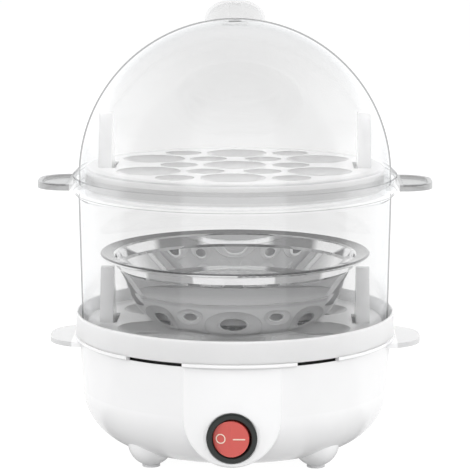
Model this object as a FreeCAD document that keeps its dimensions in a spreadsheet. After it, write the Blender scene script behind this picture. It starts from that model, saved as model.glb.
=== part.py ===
import FreeCAD, Part
import math
import os

import Sketcher
from FreeCAD import Placement, Rotation, Vector

# Two-tier egg boiler: a bowl-shaped base with a rocker switch and a water dish,
# a clear middle tier and a clear dome lid, each above an egg tray, and a steel
# bowl on the lower tray.  Millimetres and degrees, +Z up, the front faces -Y,
# and the origin is on the table under the middle of the base.

DRIVING = {
    # base housing
    "housing_height": 56.8,
    "housing_top_radius": 75.0,
    "housing_draft_width": 1.7,
    "housing_belly_radius": 26.6,
    "housing_floor_level": 4.4,
    "housing_wall": 2.0,
    "rim_overhang_width": 1.9,
    "rim_band": 1.8,
    "base_ear_length": 13.8,
    "base_ear_width": 43.6,
    "base_ear_corner": 18.4,
    "base_ear_thickness": 2.3,
    "vent_band": 1.9,
    "vent_relief_height": 6.5,
    # feet and the screws that close the base
    "foot_reach_width": 4.9,
    "foot_radius": 10.8,
    "pad_radius": 4.2,
    "pad_thickness": 2.0,
    "pad_standoff_height": 0.5,
    "post_radius": 4.4,
    "screw_grip_length": 10.0,
    "screw_radius": 1.45,
    "screw_length": 14.0,
    "screw_head_radius": 2.8,
    "screw_head_height": 2.0,
    "screw_slot_width": 0.8,
    "screw_well_clearance": 0.3,
    # switch
    "boss_radius": 22.3,
    "boss_root_radius": 30.0,
    "boss_edge_radius": 1.2,
    "boss_rise_height": 0.2,
    "switch_drop_height": 8.5,
    "switch_land_depth": 0.9,
    "switch_ring_width": 3.0,
    "switch_ring_height": 1.4,
    "land_clearance": 0.4,
    "bezel_lip_width": 1.6,
    "bezel_thickness": 2.0,
    "switch_wall": 1.1,
    "switch_body_depth": 17.0,
    "rocker_radius": 8.25,
    "rocker_gap": 0.55,
    "rocker_swing": 8.0,
    "rocker_pivot_depth": 3.5,
    "rocker_depth": 2.5,
    "rocker_crown_height": 1.2,
    "rocker_pin_radius": 1.1,
    "rocker_pin_clearance": 0.1,
    "rocker_pin_end_gap": 0.3,
    "rocker_rise_height": 4.0,
    "rocker_floor_clearance": 1.0,
    "terminal_width": 4.8,
    "terminal_thickness": 0.8,
    "terminal_length": 8.0,
    # cord gland
    "gland_drop_height": 7.0,
    "gland_land_depth": 2.1,
    "gland_bore_radius": 3.3,
    "gland_sleeve_wall": 1.7,
    "gland_flange_width": 2.0,
    "gland_flange_thickness": 2.2,
    "gland_ring_width": 1.0,
    "gland_lip_width": 0.7,
    "gland_wall": 4.0,
    "gland_tail_length": 2.4,
    # collar ring
    "collar_overhang_width": 1.4,
    "collar_floor": 1.2,
    "collar_wall": 1.1,
    "collar_ledge": 1.6,
    "collar_boss_radius": 3.8,
    "collar_boss_length": 9.8,
    "pilot_clearance": 0.05,
    "well_wall": 1.0,
    "edge_radius": 0.4,
    "tier_seat_depth": 9.4,
    "tray_seat_depth": 5.0,
    "spigot_clearance": 0.5,
    "drain_depth": 1.6,
    # water dish and what hangs under it
    "dish_mouth_radius": 45.0,
    "dish_flange_width": 4.6,
    "dish_flare_width": 7.0,
    "dish_depth": 8.4,
    "dish_wall": 1.2,
    "seal_thickness": 0.8,
    "seal_margin": 0.2,
    "spreader_margin": 2.0,
    "spreader_thickness": 2.0,
    "element_inset_width": 8.0,
    "element_radius": 3.25,
    "element_bite_depth": 0.8,
    "element_leg_length": 12.0,
    "element_pin_radius": 1.15,
    "element_pin_length": 4.8,
    "braze_clearance": 0.05,
    "thermostat_radius": 8.0,
    "thermostat_height": 8.0,
    "thermostat_clearance": 0.2,
    "strap_end_length": 5.0,
    "strap_side_width": 0.5,
    "strap_thickness": 1.0,
    "strap_mouth_margin": 1.6,
    "stud_gap": 6.0,
    "stud_radius": 2.0,
    "stud_end_length": 1.0,
    "nut_height": 3.2,
    "nut_width": 7.0,
    "fuse_radius": 2.0,
    "fuse_length": 13.0,
    "fuse_gap": 8.0,
    "fuse_tail_length": 4.0,
    "clip_width": 9.0,
    "clip_thickness": 1.0,
    "clip_boss_radius": 3.4,
    "clip_reach_width": 7.4,
    "clip_drop_height": 5.0,
    "element_gap_angle": 20.0,
    # mains terminals and the leads between the parts that carry current
    "block_length": 20.0,
    "block_width": 10.0,
    "block_height": 10.0,
    "block_gap": 1.75,
    "pole_offset": 4.5,
    "lead_radius": 1.1,
    "lead_gap": 0.3,
    "lead_slack_length": 6.0,
    "lead_swing_width": 18.0,
    # egg trays
    "tray_clearance": 0.3,
    "tray_height": 9.5,
    "tray_plate": 1.6,
    "tray_skirt": 1.2,
    "egg_margin": 25.2,
    "egg_hole_radius": 15.0,
    "tray_web_width": 2.56,
    "lifter_margin": 6.9,
    "lifter_thickness": 6.4,
    "lifter_height": 25.2,
    "lifter_foot_width": 24.0,
    "lifter_tip_width": 4.0,
    "lifter_wall": 1.5,
    "lifter_slot_width": 1.8,
    # steel bowl
    "bowl_clearance": 2.1,
    "bowl_flare_width": 4.1,
    "bowl_belly_width": 14.0,
    "bowl_belly_radius": 22.5,
    "bowl_belly_height": 16.4,
    "bowl_side_height": 9.2,
    "bowl_step_width": 2.2,
    "bowl_flange_width": 6.5,
    "bowl_mouth_height": 7.4,
    "bowl_ring_inset": 8.3,
    "bowl_ring_spacing": 13.6,
    "bowl_sheet": 0.7,
    "bowl_bead_radius": 0.9,
    # middle tier
    "tier_clearance": 1.95,
    "tier_draft_width": 1.15,
    "tier_wall": 1.3,
    "tier_height": 74.4,
    "ring_overhang_width": 2.6,
    "ring_height": 7.3,
    "ring_wall": 1.3,
    "ring_flare_height": 2.4,
    "ledge_depth": 5.1,
    "ledge_thickness": 1.9,
    "ledge_overlap_width": 3.7,
    "tier_ear_length": 16.5,
    "tier_ear_width": 38.0,
    "tier_ear_corner": 14.0,
    "tier_ear_thickness": 3.0,
    "tier_ear_drop_height": 2.4,
    "tier_ear_border": 2.2,
    "tier_ear_recess": 1.0,
    # lid and its knob
    "lid_clearance": 1.5,
    "dome_wall": 1.3,
    "dome_drop_height": 0.2,
    "lip_height": 3.4,
    "lip_edge": 0.6,
    "skirt_depth": 3.5,
    "steam_vent_radius": 1.6,
    "steam_vent_margin": 7.0,
    "knob_radius": 14.0,
    "knob_height": 9.8,
    "knob_wall": 1.6,
    "knob_lift_height": 0.4,
    "knob_stem_radius": 3.0,
    "knob_stem_gap": 0.1,
    "knob_stem_length": 1.0,
    "retainer_radius": 6.0,
    "retainer_thickness": 1.6,
    # gap left under everything that only rests on its seat
    "seat_gap": 0.1,
}

FRONT_VENTS = ((-39.0, -17.0), (22.5, 39.0))
CORNER_ANGLES = (45.0, 135.0, 225.0, 315.0)
CLIP_ANGLES = (0.0, 120.0, 240.0)
BLADE_SHARE = 0.4      # blades of the switch: share of its body's radius out from the middle
SENSOR_SHARE = 0.45    # blades of the thermostat: the same
HALF_TURN = 180.0

document = FreeCAD.newDocument("egg_boiler")
sheet = document.addObject("Spreadsheet::Sheet", "dims")
finished = []


class Size:
    """A length or angle: its spreadsheet formula and its present value."""

    def __init__(self, formula, value):
        self.formula = formula
        self.value = value

    def __add__(self, other):
        return joined(self, "+", other, lambda a, b: a + b)

    def __sub__(self, other):
        return joined(self, "-", other, lambda a, b: a - b)

    def __mul__(self, other):
        return joined(self, "*", other, lambda a, b: a * b)

    def __truediv__(self, other):
        return joined(self, "/", other, lambda a, b: a / b)

    def __neg__(self):
        return Size(f"(-1 * {self.formula})", -self.value)


def as_size(thing):
    return thing if isinstance(thing, Size) else Size(repr(thing), thing)


def joined(left, sign, right, work):
    left, right = as_size(left), as_size(right)
    return Size(f"({left.formula} {sign} {right.formula})", work(left.value, right.value))


def root(size):
    return Size(f"sqrt({size.formula})", math.sqrt(size.value))


def leg(hypotenuse, side):
    """The other short side of a right triangle."""
    return root(hypotenuse * hypotenuse - side * side)


def fill_sheet():
    for row, (word, number) in enumerate(DRIVING.items(), start=1):
        sheet.set(f"A{row}", word)
        sheet.set(f"B{row}", str(number))
        sheet.setAlias(f"B{row}", word)
    document.recompute()
    return {word: Size(f"dims.{word}", number) for word, number in DRIVING.items()}


class Sizes:
    """The driving dimensions as attributes, and then what follows from them."""

    def __init__(self, table):
        self.__dict__.update(table)


d = Sizes(fill_sheet())

ZERO = Size("0", 0.0)


def derive_base():
    """Radii and levels of the base, each a named margin from its neighbour."""
    d.housing_waist_radius = d.housing_top_radius - d.housing_draft_width
    d.housing_waist_level = d.housing_floor_level + d.housing_belly_radius
    d.rim_radius = d.housing_top_radius + d.rim_overhang_width
    d.base_ear_reach = d.housing_top_radius + d.base_ear_length
    d.boss_centre_level = d.housing_waist_level + d.boss_rise_height
    d.switch_level = d.boss_centre_level - d.switch_drop_height
    d.switch_body_radius = d.rocker_radius + d.rocker_gap + d.switch_wall
    d.bezel_radius = d.switch_body_radius + d.bezel_lip_width
    d.gland_level = d.housing_waist_level - d.gland_drop_height
    d.gland_land_reach = d.housing_waist_radius - d.gland_land_depth
    d.gland_neck_radius = d.gland_bore_radius + d.gland_sleeve_wall
    d.gland_flange_radius = d.gland_neck_radius + d.gland_flange_width


def derive_heater():
    """Radii of the dish, of the screws beside it and of what hangs under it."""
    d.dish_flange_radius = d.dish_mouth_radius + d.dish_flange_width
    d.dish_floor_radius = d.dish_mouth_radius - d.dish_flare_width
    d.foot_circle = d.dish_flange_radius + d.foot_reach_width
    d.clip_screw_circle = d.dish_flange_radius + d.clip_reach_width
    d.spreader_radius = d.dish_floor_radius - d.spreader_margin
    d.element_ring_radius = d.spreader_radius - d.element_inset_width
    d.stud_offset = d.thermostat_radius + d.stud_gap
    d.strap_half_length = d.stud_offset + d.strap_end_length
    d.block_reach = d.element_ring_radius + d.element_radius + d.block_gap


def derive_tiers():
    """Radii of the collar, the trays, the bowl, the tier and the lid, from the housing inward and up."""
    d.collar_radius = d.housing_top_radius + d.collar_overhang_width
    d.collar_inside_radius = d.collar_radius - d.collar_wall
    d.spigot_radius = d.housing_top_radius - d.housing_wall - d.spigot_clearance
    d.well_radius = d.spigot_radius - d.well_wall
    d.tray_radius = d.well_radius - d.tray_clearance
    d.egg_pitch = d.tray_radius - d.egg_margin
    d.steam_hole_radius = d.egg_pitch / math.sqrt(3.0) - d.egg_hole_radius - d.tray_web_width
    d.lifter_outer_reach = d.tray_radius - d.lifter_margin
    d.lifter_inner_reach = d.lifter_outer_reach - d.lifter_thickness
    d.bowl_step_radius = d.lifter_inner_reach - d.bowl_clearance
    d.bowl_shoulder_radius = d.bowl_step_radius - d.bowl_flare_width
    d.bowl_foot_radius = d.bowl_shoulder_radius - d.bowl_belly_width
    d.bowl_mouth_radius = d.bowl_step_radius + d.bowl_step_width
    d.bowl_rim_radius = d.bowl_mouth_radius + d.bowl_flange_width
    d.tier_foot_radius = d.collar_inside_radius - d.tier_clearance
    d.tier_top_radius = d.tier_foot_radius + d.tier_draft_width
    d.ring_radius = d.tier_top_radius + d.ring_overhang_width
    d.ring_inside_radius = d.ring_radius - d.ring_wall
    d.ledge_mouth_radius = d.tray_radius - d.ledge_overlap_width
    d.tier_ear_reach = d.ring_radius + d.tier_ear_length
    d.dome_radius = d.ring_inside_radius - d.lid_clearance
    d.steam_vent_reach = d.knob_radius + d.steam_vent_margin


derive_base()
derive_heater()
derive_tiers()

# Levels that several pieces share.
tier_seat = d.housing_height + d.collar_floor
collar_top = tier_seat + d.tier_seat_depth
tray_seat = tier_seat - d.tray_seat_depth
plate_ledge = tray_seat - d.drain_depth - d.collar_ledge
post_level = plate_ledge - d.collar_boss_length
screw_head_level = post_level - d.screw_grip_length
dish_flange_top = plate_ledge - d.seal_thickness
dish_floor_underside = dish_flange_top - d.dish_depth
spreader_underside = dish_floor_underside - d.spreader_thickness
lower_tray_foot = tray_seat + d.seat_gap
lower_tray_top = lower_tray_foot + d.tray_height
bowl_foot = lower_tray_top + d.seat_gap
tier_foot = tier_seat + d.seat_gap
ring_top = tier_foot + d.tier_height
ledge_top = ring_top - d.ledge_depth
upper_tray_foot = ledge_top + d.seat_gap
lip_foot = ring_top + d.seat_gap
dome_centre = ring_top - d.dome_drop_height
dome_top = dome_centre + d.dome_radius
boss_face = -d.housing_top_radius
switch_land = boss_face + d.switch_land_depth


# ---------------------------------------------------------------- drawing aids

def bind(thing, sizes):
    for name, size in sizes.items():
        thing.setExpression(name, as_size(size).formula)


def place(thing, x=0.0, y=0.0, z=0.0, rotation=Rotation()):
    thing.Placement = Placement(Vector(as_size(x).value, as_size(y).value, as_size(z).value), rotation)
    bind(thing, {"Placement.Base.x": x, "Placement.Base.y": y, "Placement.Base.z": z})
    return thing


def origin_plane(body, role):
    return next(item for item in body.Origin.OriginFeatures if item.Role == role)


def arc_geometry(start, end, radius):
    """Arc from start to end; a positive radius bulges to the right of the way."""
    middle = (start + end) * 0.5
    chord = end - start
    rise = math.sqrt(max(radius * radius - chord.Length ** 2 / 4, 0.0))
    left = Vector(-chord.y, chord.x, 0).normalize()
    centre = middle + left * math.copysign(rise, radius)
    first, last = (start, end) if radius > 0 else (end, start)
    angles = [math.atan2(point.y - centre.y, point.x - centre.x) for point in (first, last)]
    circle = Part.Circle(centre, Vector(0, 0, 1), abs(radius))
    return Part.ArcOfCircle(circle, angles[0], angles[1])


def draw_outline(sketch, corners):
    """Closed outline; a corner is (across, up) or (across, up, arc radius)."""
    spots = [Vector(corner[0].value, corner[1].value, 0) for corner in corners]
    ends = []
    for index, corner in enumerate(corners):
        start, end = spots[index - 1], spots[index]
        if len(corner) == 2:
            number = sketch.addGeometry(Part.LineSegment(start, end), False)
            ends.append((number, 1, 2))
        else:
            radius = corner[2]
            number = sketch.addGeometry(arc_geometry(start, end, radius.value), False)
            ends.append((number, 1, 2) if radius.value > 0 else (number, 2, 1))
    for index, (number, _, last) in enumerate(ends):
        follower, first, _ = ends[(index + 1) % len(ends)]
        sketch.addConstraint(Sketcher.Constraint("Coincident", number, last, follower, first))
    for index, (number, _, last) in enumerate(ends):
        across, up = corners[index][:2]
        pin_coordinate(sketch, "DistanceX", number, last, across)
        pin_coordinate(sketch, "DistanceY", number, last, up)
        if len(corners[index]) == 3:
            radius = corners[index][2]
            size = radius if radius.value > 0 else -radius
            rule = sketch.addConstraint(Sketcher.Constraint("Radius", number, size.value))
            sketch.setExpression(f"Constraints[{rule}]", size.formula)


def pin_coordinate(sketch, kind, number, end, size):
    if size.value == 0.0:
        axis = -2 if kind == "DistanceX" else -1
        sketch.addConstraint(Sketcher.Constraint("PointOnObject", number, end, axis))
        return
    rule = sketch.addConstraint(Sketcher.Constraint(kind, number, end, size.value))
    sketch.setExpression(f"Constraints[{rule}]", size.formula)


def draw_circle(sketch, across, up, radius):
    centre = Vector(as_size(across).value, as_size(up).value, 0)
    number = sketch.addGeometry(Part.Circle(centre, Vector(0, 0, 1), radius.value), False)
    rule = sketch.addConstraint(Sketcher.Constraint("Radius", number, radius.value))
    sketch.setExpression(f"Constraints[{rule}]", radius.formula)
    pin_coordinate(sketch, "DistanceX", number, 3, as_size(across))
    pin_coordinate(sketch, "DistanceY", number, 3, as_size(up))


def new_body(name):
    return document.addObject("PartDesign::Body", name)


def new_sketch(body, role, name, lift=None):
    """Sketch on an origin plane; lift moves it along the plane's normal."""
    sketch = body.newObject("Sketcher::SketchObject", name)
    sketch.AttachmentSupport = [(origin_plane(body, role), "")]
    sketch.MapMode = "FlatFace"
    if lift is not None:
        sketch.AttachmentOffset = Placement(Vector(0, 0, lift.value), Rotation())
        sketch.setExpression("AttachmentOffset.Base.z", lift.formula)
    return sketch


def turned(name, corners):
    """Body of revolution about the Z axis from one closed outline."""
    body = new_body(name)
    sketch = new_sketch(body, "XZ_Plane", f"{name}_outline")
    draw_outline(sketch, corners)
    turning = body.newObject("PartDesign::Revolution", f"{name}_turning")
    turning.Profile = sketch
    turning.ReferenceAxis = (sketch, ["V_Axis"])
    turning.Angle = 360.0
    body.Tip = turning
    return body


def padded(name, role, corners, length, lift=None, both_ways=False):
    """Body extruded from one closed outline."""
    body = new_body(name)
    sketch = new_sketch(body, role, f"{name}_outline", lift)
    draw_outline(sketch, corners)
    pad = body.newObject("PartDesign::Pad", f"{name}_pad")
    pad.Profile = sketch
    pad.Length = length.value
    pad.setExpression("Length", length.formula)
    pad.Midplane = both_ways
    body.Tip = pad
    return body


ALONG = {
    "+Z": Rotation(),
    "+Y": Rotation(Vector(1, 0, 0), -90),
    "-Y": Rotation(Vector(1, 0, 0), 90),
    "+X": Rotation(Vector(0, 1, 0), 90),
}


def cylinder(name, radius, height, x=0.0, y=0.0, z=0.0, along="+Z"):
    rod = document.addObject("Part::Cylinder", name)
    bind(rod, {"Radius": radius, "Height": height})
    return place(rod, x, y, z, ALONG[along])


def block(name, length, width, height, x, y, z):
    """Box centred on x and y, standing on z."""
    brick = document.addObject("Part::Box", name)
    bind(brick, {"Length": length, "Width": width, "Height": height})
    return place(brick, as_size(x) - as_size(length) / 2, as_size(y) - as_size(width) / 2, z)


def ball(name, radius, x, y, z):
    sphere = document.addObject("Part::Sphere", name)
    bind(sphere, {"Radius": radius})
    return place(sphere, x, y, z)


def at_angle(thing, angle):
    """Turn a placed object about the Z axis of the whole."""
    turn = Rotation(Vector(0, 0, 1), angle)
    holder = document.addObject("Part::Compound", f"{thing.Name}_turned")
    holder.Links = [thing]
    holder.Placement = Placement(Vector(), turn)
    return holder


def fused(name, pieces):
    whole = document.addObject("Part::MultiFuse", name)
    whole.Shapes = pieces
    whole.Refine = True
    return whole


def cut(name, base, tool):
    rest = document.addObject("Part::Cut", name)
    rest.Base = base
    rest.Tool = tool
    rest.Refine = True
    return rest


def shared(name, first, second):
    overlap = document.addObject("Part::Common", name)
    overlap.Base = first
    overlap.Tool = second
    overlap.Refine = True
    return overlap


def group(name, pieces):
    """Several like solids under one name."""
    bundle = document.addObject("Part::Compound", name)
    bundle.Links = pieces
    return bundle


def finish(thing, label):
    thing.Label = label
    finished.append(thing)
    return thing


def rounded_edges(name, base, radius, chosen):
    """Fillet of the edges that chosen picks from the computed base."""
    document.recompute()
    numbers = [index for index, edge in enumerate(base.Shape.Edges, start=1) if chosen(edge)]
    rounding = document.addObject("Part::Fillet", name)
    rounding.Base = base
    rounding.Edges = [(number, radius.value, radius.value) for number in numbers]
    return rounding


def ear_outline(root_reach, reach, width, corner):
    """Half-rounded tab on the +X side, from inside the ring out to its reach."""
    half = width / 2
    return [
        (root_reach, -half),
        (reach - corner, -half),
        (reach, -half + corner, corner),
        (reach, half - corner),
        (reach - corner, half, corner),
        (root_reach, half),
    ]


def polar_spot(circle, angle):
    """Place on a circle round the Z axis, as two sizes."""
    turn = math.radians(angle)
    return circle * math.cos(turn), circle * math.sin(turn)


# ------------------------------------------------------------------- the base

def housing_solid(name, floor, belly, shrink):
    """The bowl as a solid: shrink is 0 for the outside and the wall for the hollow."""
    floor_radius = d.housing_waist_radius - d.housing_belly_radius
    return turned(name, [
        (ZERO, floor),
        (floor_radius, floor),
        (d.housing_waist_radius - shrink, d.housing_waist_level, belly),
        (d.housing_top_radius - shrink, d.housing_height),
        (ZERO, d.housing_height),
    ])


def switch_boss(name, radius, face_radius):
    """Arched nose of the housing: the wall's cylinder carried on down behind the switch."""
    top = d.housing_height - d.base_ear_thickness
    arch = padded(f"{name}_arch", "XZ_Plane", [
        (-radius, top),
        (-radius, d.boss_centre_level),
        (ZERO, d.boss_centre_level - radius, radius),
        (radius, d.boss_centre_level, radius),
        (radius, top),
    ], d.housing_top_radius, lift=d.boss_root_radius)
    drum = cylinder(f"{name}_drum", face_radius, top)
    return shared(name, arch, drum)


def on_drum(edge, radius, top):
    """True for the arched front edge of the boss."""
    spots = [edge.valueAt(edge.FirstParameter + share * (edge.LastParameter - edge.FirstParameter))
             for share in (0.1, 0.5, 0.9)]
    return all(abs(math.hypot(spot.x, spot.y) - radius) < 0.01 and spot.z < top - 0.01 for spot in spots)


def vent_sector(name, start, end, radius, foot, height):
    sector = cylinder(name, radius, height, z=foot)
    sector.Angle = end - start
    sector.Placement = Placement(sector.Placement.Base, Rotation(Vector(0, 0, 1), start - 90.0))
    return sector


def base_housing():
    outside = housing_solid("housing_bowl", d.housing_floor_level, d.housing_belly_radius, ZERO)
    hollow = housing_solid("housing_hollow", d.housing_floor_level + d.housing_wall,
                           d.housing_belly_radius - d.housing_wall, d.housing_wall)
    band_foot = d.housing_height - d.rim_band
    rim = turned("housing_rim", [
        (d.housing_waist_radius, band_foot),
        (d.rim_radius - d.edge_radius, band_foot),
        (d.rim_radius, band_foot + d.edge_radius),
        (d.rim_radius, d.housing_height),
        (d.housing_waist_radius, d.housing_height),
    ])
    boss = switch_boss("switch_boss", d.boss_radius, d.housing_top_radius)
    boss_top = d.housing_height.value - d.base_ear_thickness.value
    boss = rounded_edges("switch_boss_rounded", boss, d.boss_edge_radius,
                         lambda edge: on_drum(edge, d.housing_top_radius.value, boss_top))
    boss_hollow = switch_boss("switch_boss_hollow", d.boss_radius - d.housing_wall,
                              d.housing_top_radius - d.housing_wall)
    ears = []
    for side, angle in (("right", 0.0), ("left", 180.0)):
        ear = padded(f"base_ear_{side}", "XY_Plane",
                     ear_outline(d.housing_waist_radius - d.base_ear_corner, d.base_ear_reach,
                                 d.base_ear_width, d.base_ear_corner),
                     d.base_ear_thickness, lift=band_foot - d.base_ear_thickness)
        ears.append(at_angle(ear, angle))
    foot_level = d.foot_radius + d.pad_standoff_height
    bulbs, bulb_hollows, posts, bores = [], [], [], []
    for number, angle in enumerate(CORNER_ANGLES):
        x, y = polar_spot(d.foot_circle, angle)
        bulbs.append(ball(f"foot_bulb_{number}", d.foot_radius, x, y, foot_level))
        bulb_hollows.append(ball(f"foot_hollow_{number}", d.foot_radius - d.housing_wall, x, y, foot_level))
        posts.append(cylinder(f"post_{number}", d.post_radius, post_level - d.pad_thickness,
                              x, y, d.pad_thickness))
        bores.append(cylinder(f"post_bore_{number}", d.screw_radius + d.seat_gap, post_level, x, y, 0.0))
        bores.append(cylinder(f"post_well_{number}", d.screw_head_radius + d.screw_well_clearance,
                              screw_head_level, x, y, 0.0))
        bores.append(cylinder(f"pad_seat_{number}", d.pad_radius + d.seat_gap, d.pad_thickness, x, y, 0.0))
    hole_radius = d.switch_body_radius + d.seat_gap
    ring_depth = d.housing_wall + d.switch_ring_height
    switch_ring = cylinder("switch_ring", hole_radius + d.switch_ring_width, ring_depth,
                           y=switch_land + ring_depth, z=d.switch_level, along="-Y")
    switch_hole = cylinder("switch_hole", hole_radius, d.housing_top_radius, z=d.switch_level, along="-Y")
    land = cylinder("switch_land", d.bezel_radius + d.land_clearance, d.housing_wall,
                    y=switch_land, z=d.switch_level, along="-Y")
    gland_ring = cylinder("gland_ring", d.gland_flange_radius + d.gland_ring_width, d.gland_wall,
                          y=d.gland_land_reach - d.gland_wall, z=d.gland_level, along="+Y")
    gland_land = cylinder("gland_land", d.gland_flange_radius + d.land_clearance, d.gland_wall,
                          y=d.gland_land_reach, z=d.gland_level, along="+Y")
    gland_hole = cylinder("gland_hole", d.gland_neck_radius + d.seat_gap, d.housing_top_radius,
                          z=d.gland_level, along="+Y")
    rear_vents = tuple((HALF_TURN - end, HALF_TURN - start) for start, end in FRONT_VENTS)
    relief = (d.housing_top_radius + d.housing_waist_radius) / 2
    slots = []
    for number, (start, end) in enumerate(FRONT_VENTS + rear_vents):
        slots.append(vent_sector(f"vent_{number}", start, end, d.base_ear_reach,
                                 d.housing_height - d.vent_band, d.vent_band))
        slots.append(vent_sector(f"vent_relief_{number}", start, end, relief,
                                 d.housing_height - d.vent_relief_height, d.vent_relief_height))
    shell = fused("housing_outside", [outside, rim, boss] + ears + bulbs)
    shell = cut("housing_shell", shell, fused("housing_inside", [hollow, boss_hollow] + bulb_hollows))
    shell = fused("housing_fitted", [shell, switch_ring, gland_ring] + posts)
    openings = fused("housing_openings", bores + slots + [switch_hole, land, gland_land, gland_hole])
    finish(cut("base_housing_solid", shell, openings), "base_housing")


def foot_pads():
    pads = []
    for number, angle in enumerate(CORNER_ANGLES):
        x, y = polar_spot(d.foot_circle, angle)
        pads.append(cylinder(f"pad_{number}", d.pad_radius, d.pad_thickness, x, y, 0.0))
    finish(group("foot_pad_set", pads), "foot_pads")


def screw(name, x, y, level, radius, length, head_radius, head_height):
    """Pan-head screw that points up; level is the seat of its head."""
    head = cylinder(f"{name}_head", head_radius, head_height, x, y, level - head_height)
    shank = cylinder(f"{name}_shank", radius, length, x, y, level)
    slot = block(f"{name}_slot", head_radius * 1.5, d.screw_slot_width, head_height * 0.5,
                 x, y, level - head_height)
    return cut(name, fused(f"{name}_blank", [head, shank]), slot)


def housing_screws():
    screws = []
    for number, angle in enumerate(CORNER_ANGLES):
        x, y = polar_spot(d.foot_circle, angle)
        screws.append(screw(f"housing_screw_{number}", x, y, screw_head_level, d.screw_radius,
                            d.screw_length, d.screw_head_radius, d.screw_head_height))
    finish(group("housing_screw_set", screws), "housing_screws")


# ----------------------------------------------------------- collar and dish

clip_rest = dish_flange_top - d.dish_wall
clip_boss_foot = clip_rest - d.clip_drop_height


def collar_post(kind, number, circle, angle, radius, foot):
    """Screw boss under the collar, and the pilot hole up into it."""
    x, y = polar_spot(circle, angle)
    top = plate_ledge + d.collar_ledge / 2
    boss = cylinder(f"{kind}_boss_{number}", radius, top - foot, x, y, foot)
    pilot = cylinder(f"{kind}_pilot_{number}", d.screw_radius + d.pilot_clearance, plate_ledge - foot,
                     x, y, foot)
    return boss, pilot


def collar_ring():
    ring = turned("collar_profile", [
        (d.dish_mouth_radius, plate_ledge),
        (d.dish_flange_radius + d.clip_thickness, plate_ledge),
        (d.spigot_radius, tray_seat - d.collar_ledge),
        (d.spigot_radius, d.housing_height),
        (d.collar_radius, d.housing_height),
        (d.collar_radius, collar_top - d.edge_radius),
        (d.collar_radius - d.edge_radius, collar_top),
        (d.collar_inside_radius, collar_top),
        (d.collar_inside_radius, tier_seat),
        (d.well_radius, tier_seat),
        (d.well_radius, tray_seat),
        (d.tray_radius - d.tray_skirt * 2.0, tray_seat),
        (d.dish_mouth_radius, tray_seat - d.drain_depth),
    ])
    posts = [collar_post("collar", number, d.foot_circle, angle, d.collar_boss_radius, post_level)
             for number, angle in enumerate(CORNER_ANGLES)]
    posts += [collar_post("clip", number, d.clip_screw_circle, angle, d.clip_boss_radius, clip_boss_foot)
              for number, angle in enumerate(CLIP_ANGLES)]
    bosses, pilots = zip(*posts)
    blank = fused("collar_blank", [ring] + list(bosses))
    finish(cut("collar_solid", blank, fused("collar_pilots", list(pilots))), "collar_ring")


def plate_seal():
    finish(turned("seal_ring", [
        (d.dish_mouth_radius + d.seal_margin, dish_flange_top),
        (d.dish_flange_radius - d.seal_margin, dish_flange_top),
        (d.dish_flange_radius - d.seal_margin, plate_ledge),
        (d.dish_mouth_radius + d.seal_margin, plate_ledge),
    ]), "plate_seal")


def heating_plate():
    underside = dish_floor_underside
    finish(turned("dish", [
        (ZERO, underside),
        (d.dish_floor_radius, underside),
        (d.dish_mouth_radius, clip_rest),
        (d.dish_flange_radius, clip_rest),
        (d.dish_flange_radius, dish_flange_top),
        (d.dish_mouth_radius - d.dish_wall, dish_flange_top),
        (d.dish_floor_radius - d.dish_wall * 0.5, underside + d.dish_wall),
        (ZERO, underside + d.dish_wall),
    ]), "heating_plate")


def plate_clips():
    inner = d.dish_mouth_radius + d.clip_thickness
    riser = d.dish_flange_radius + d.clip_thickness * 1.5
    outer = d.clip_screw_circle + d.clip_boss_radius
    clips = []
    for number, angle in enumerate(CLIP_ANGLES):
        strip = padded(f"clip_strip_{number}", "XZ_Plane", [
            (inner, clip_rest),
            (inner, clip_rest - d.clip_thickness),
            (riser, clip_rest - d.clip_thickness),
            (riser, clip_boss_foot - d.clip_thickness),
            (outer, clip_boss_foot - d.clip_thickness),
            (outer, clip_boss_foot),
            (riser + d.clip_thickness, clip_boss_foot),
            (riser + d.clip_thickness, clip_rest),
        ], d.clip_width, both_ways=True)
        hole = cylinder(f"clip_hole_{number}", d.screw_radius + d.seat_gap, d.clip_thickness,
                        d.clip_screw_circle, 0.0, clip_boss_foot - d.clip_thickness)
        clips.append(at_angle(cut(f"clip_{number}", strip, hole), angle))
    finish(group("clip_set", clips), "plate_clips")


def clip_screws():
    screws = []
    for number, angle in enumerate(CLIP_ANGLES):
        x, y = polar_spot(d.clip_screw_circle, angle)
        screws.append(screw(f"clip_screw_{number}", x, y, clip_boss_foot - d.clip_thickness, d.screw_radius,
                            d.clip_thickness + d.clip_drop_height, d.screw_head_radius, d.screw_head_height))
    finish(group("clip_screw_set", screws), "clip_screws")


# -------------------------------------------------------------- the heater

element_level = spreader_underside + d.element_bite_depth - d.element_radius
leg_foot = element_level - d.element_leg_length
pin_foot = leg_foot - d.element_pin_length
strap_top = dish_floor_underside - d.thermostat_height
blade_foot = strap_top - d.terminal_length
ELEMENT_ENDS = (90.0 - d.element_gap_angle.value, 90.0 + d.element_gap_angle.value)


def element_ring(name, tube_radius):
    """Open ring of tube, its gap to the rear."""
    ring = document.addObject("Part::Torus", name)
    span = -d.element_gap_angle * 2.0 + HALF_TURN * 2.0
    bind(ring, {"Radius1": d.element_ring_radius, "Radius2": tube_radius, "Angle3": span})
    return place(ring, 0.0, 0.0, element_level, Rotation(Vector(0, 0, 1), ELEMENT_ENDS[1]))


def heater_element():
    pieces = [element_ring("element_tube", d.element_radius)]
    for number, angle in enumerate(ELEMENT_ENDS):
        x, y = polar_spot(d.element_ring_radius, angle)
        pieces.append(ball(f"element_elbow_{number}", d.element_radius, x, y, element_level))
        pieces.append(cylinder(f"element_leg_{number}", d.element_radius, d.element_leg_length,
                               x, y, leg_foot))
        pieces.append(cylinder(f"element_pin_{number}", d.element_pin_radius, element_level - pin_foot, x, y,
                               pin_foot))
    finish(fused("element_solid", pieces), "heater_element")


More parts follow.
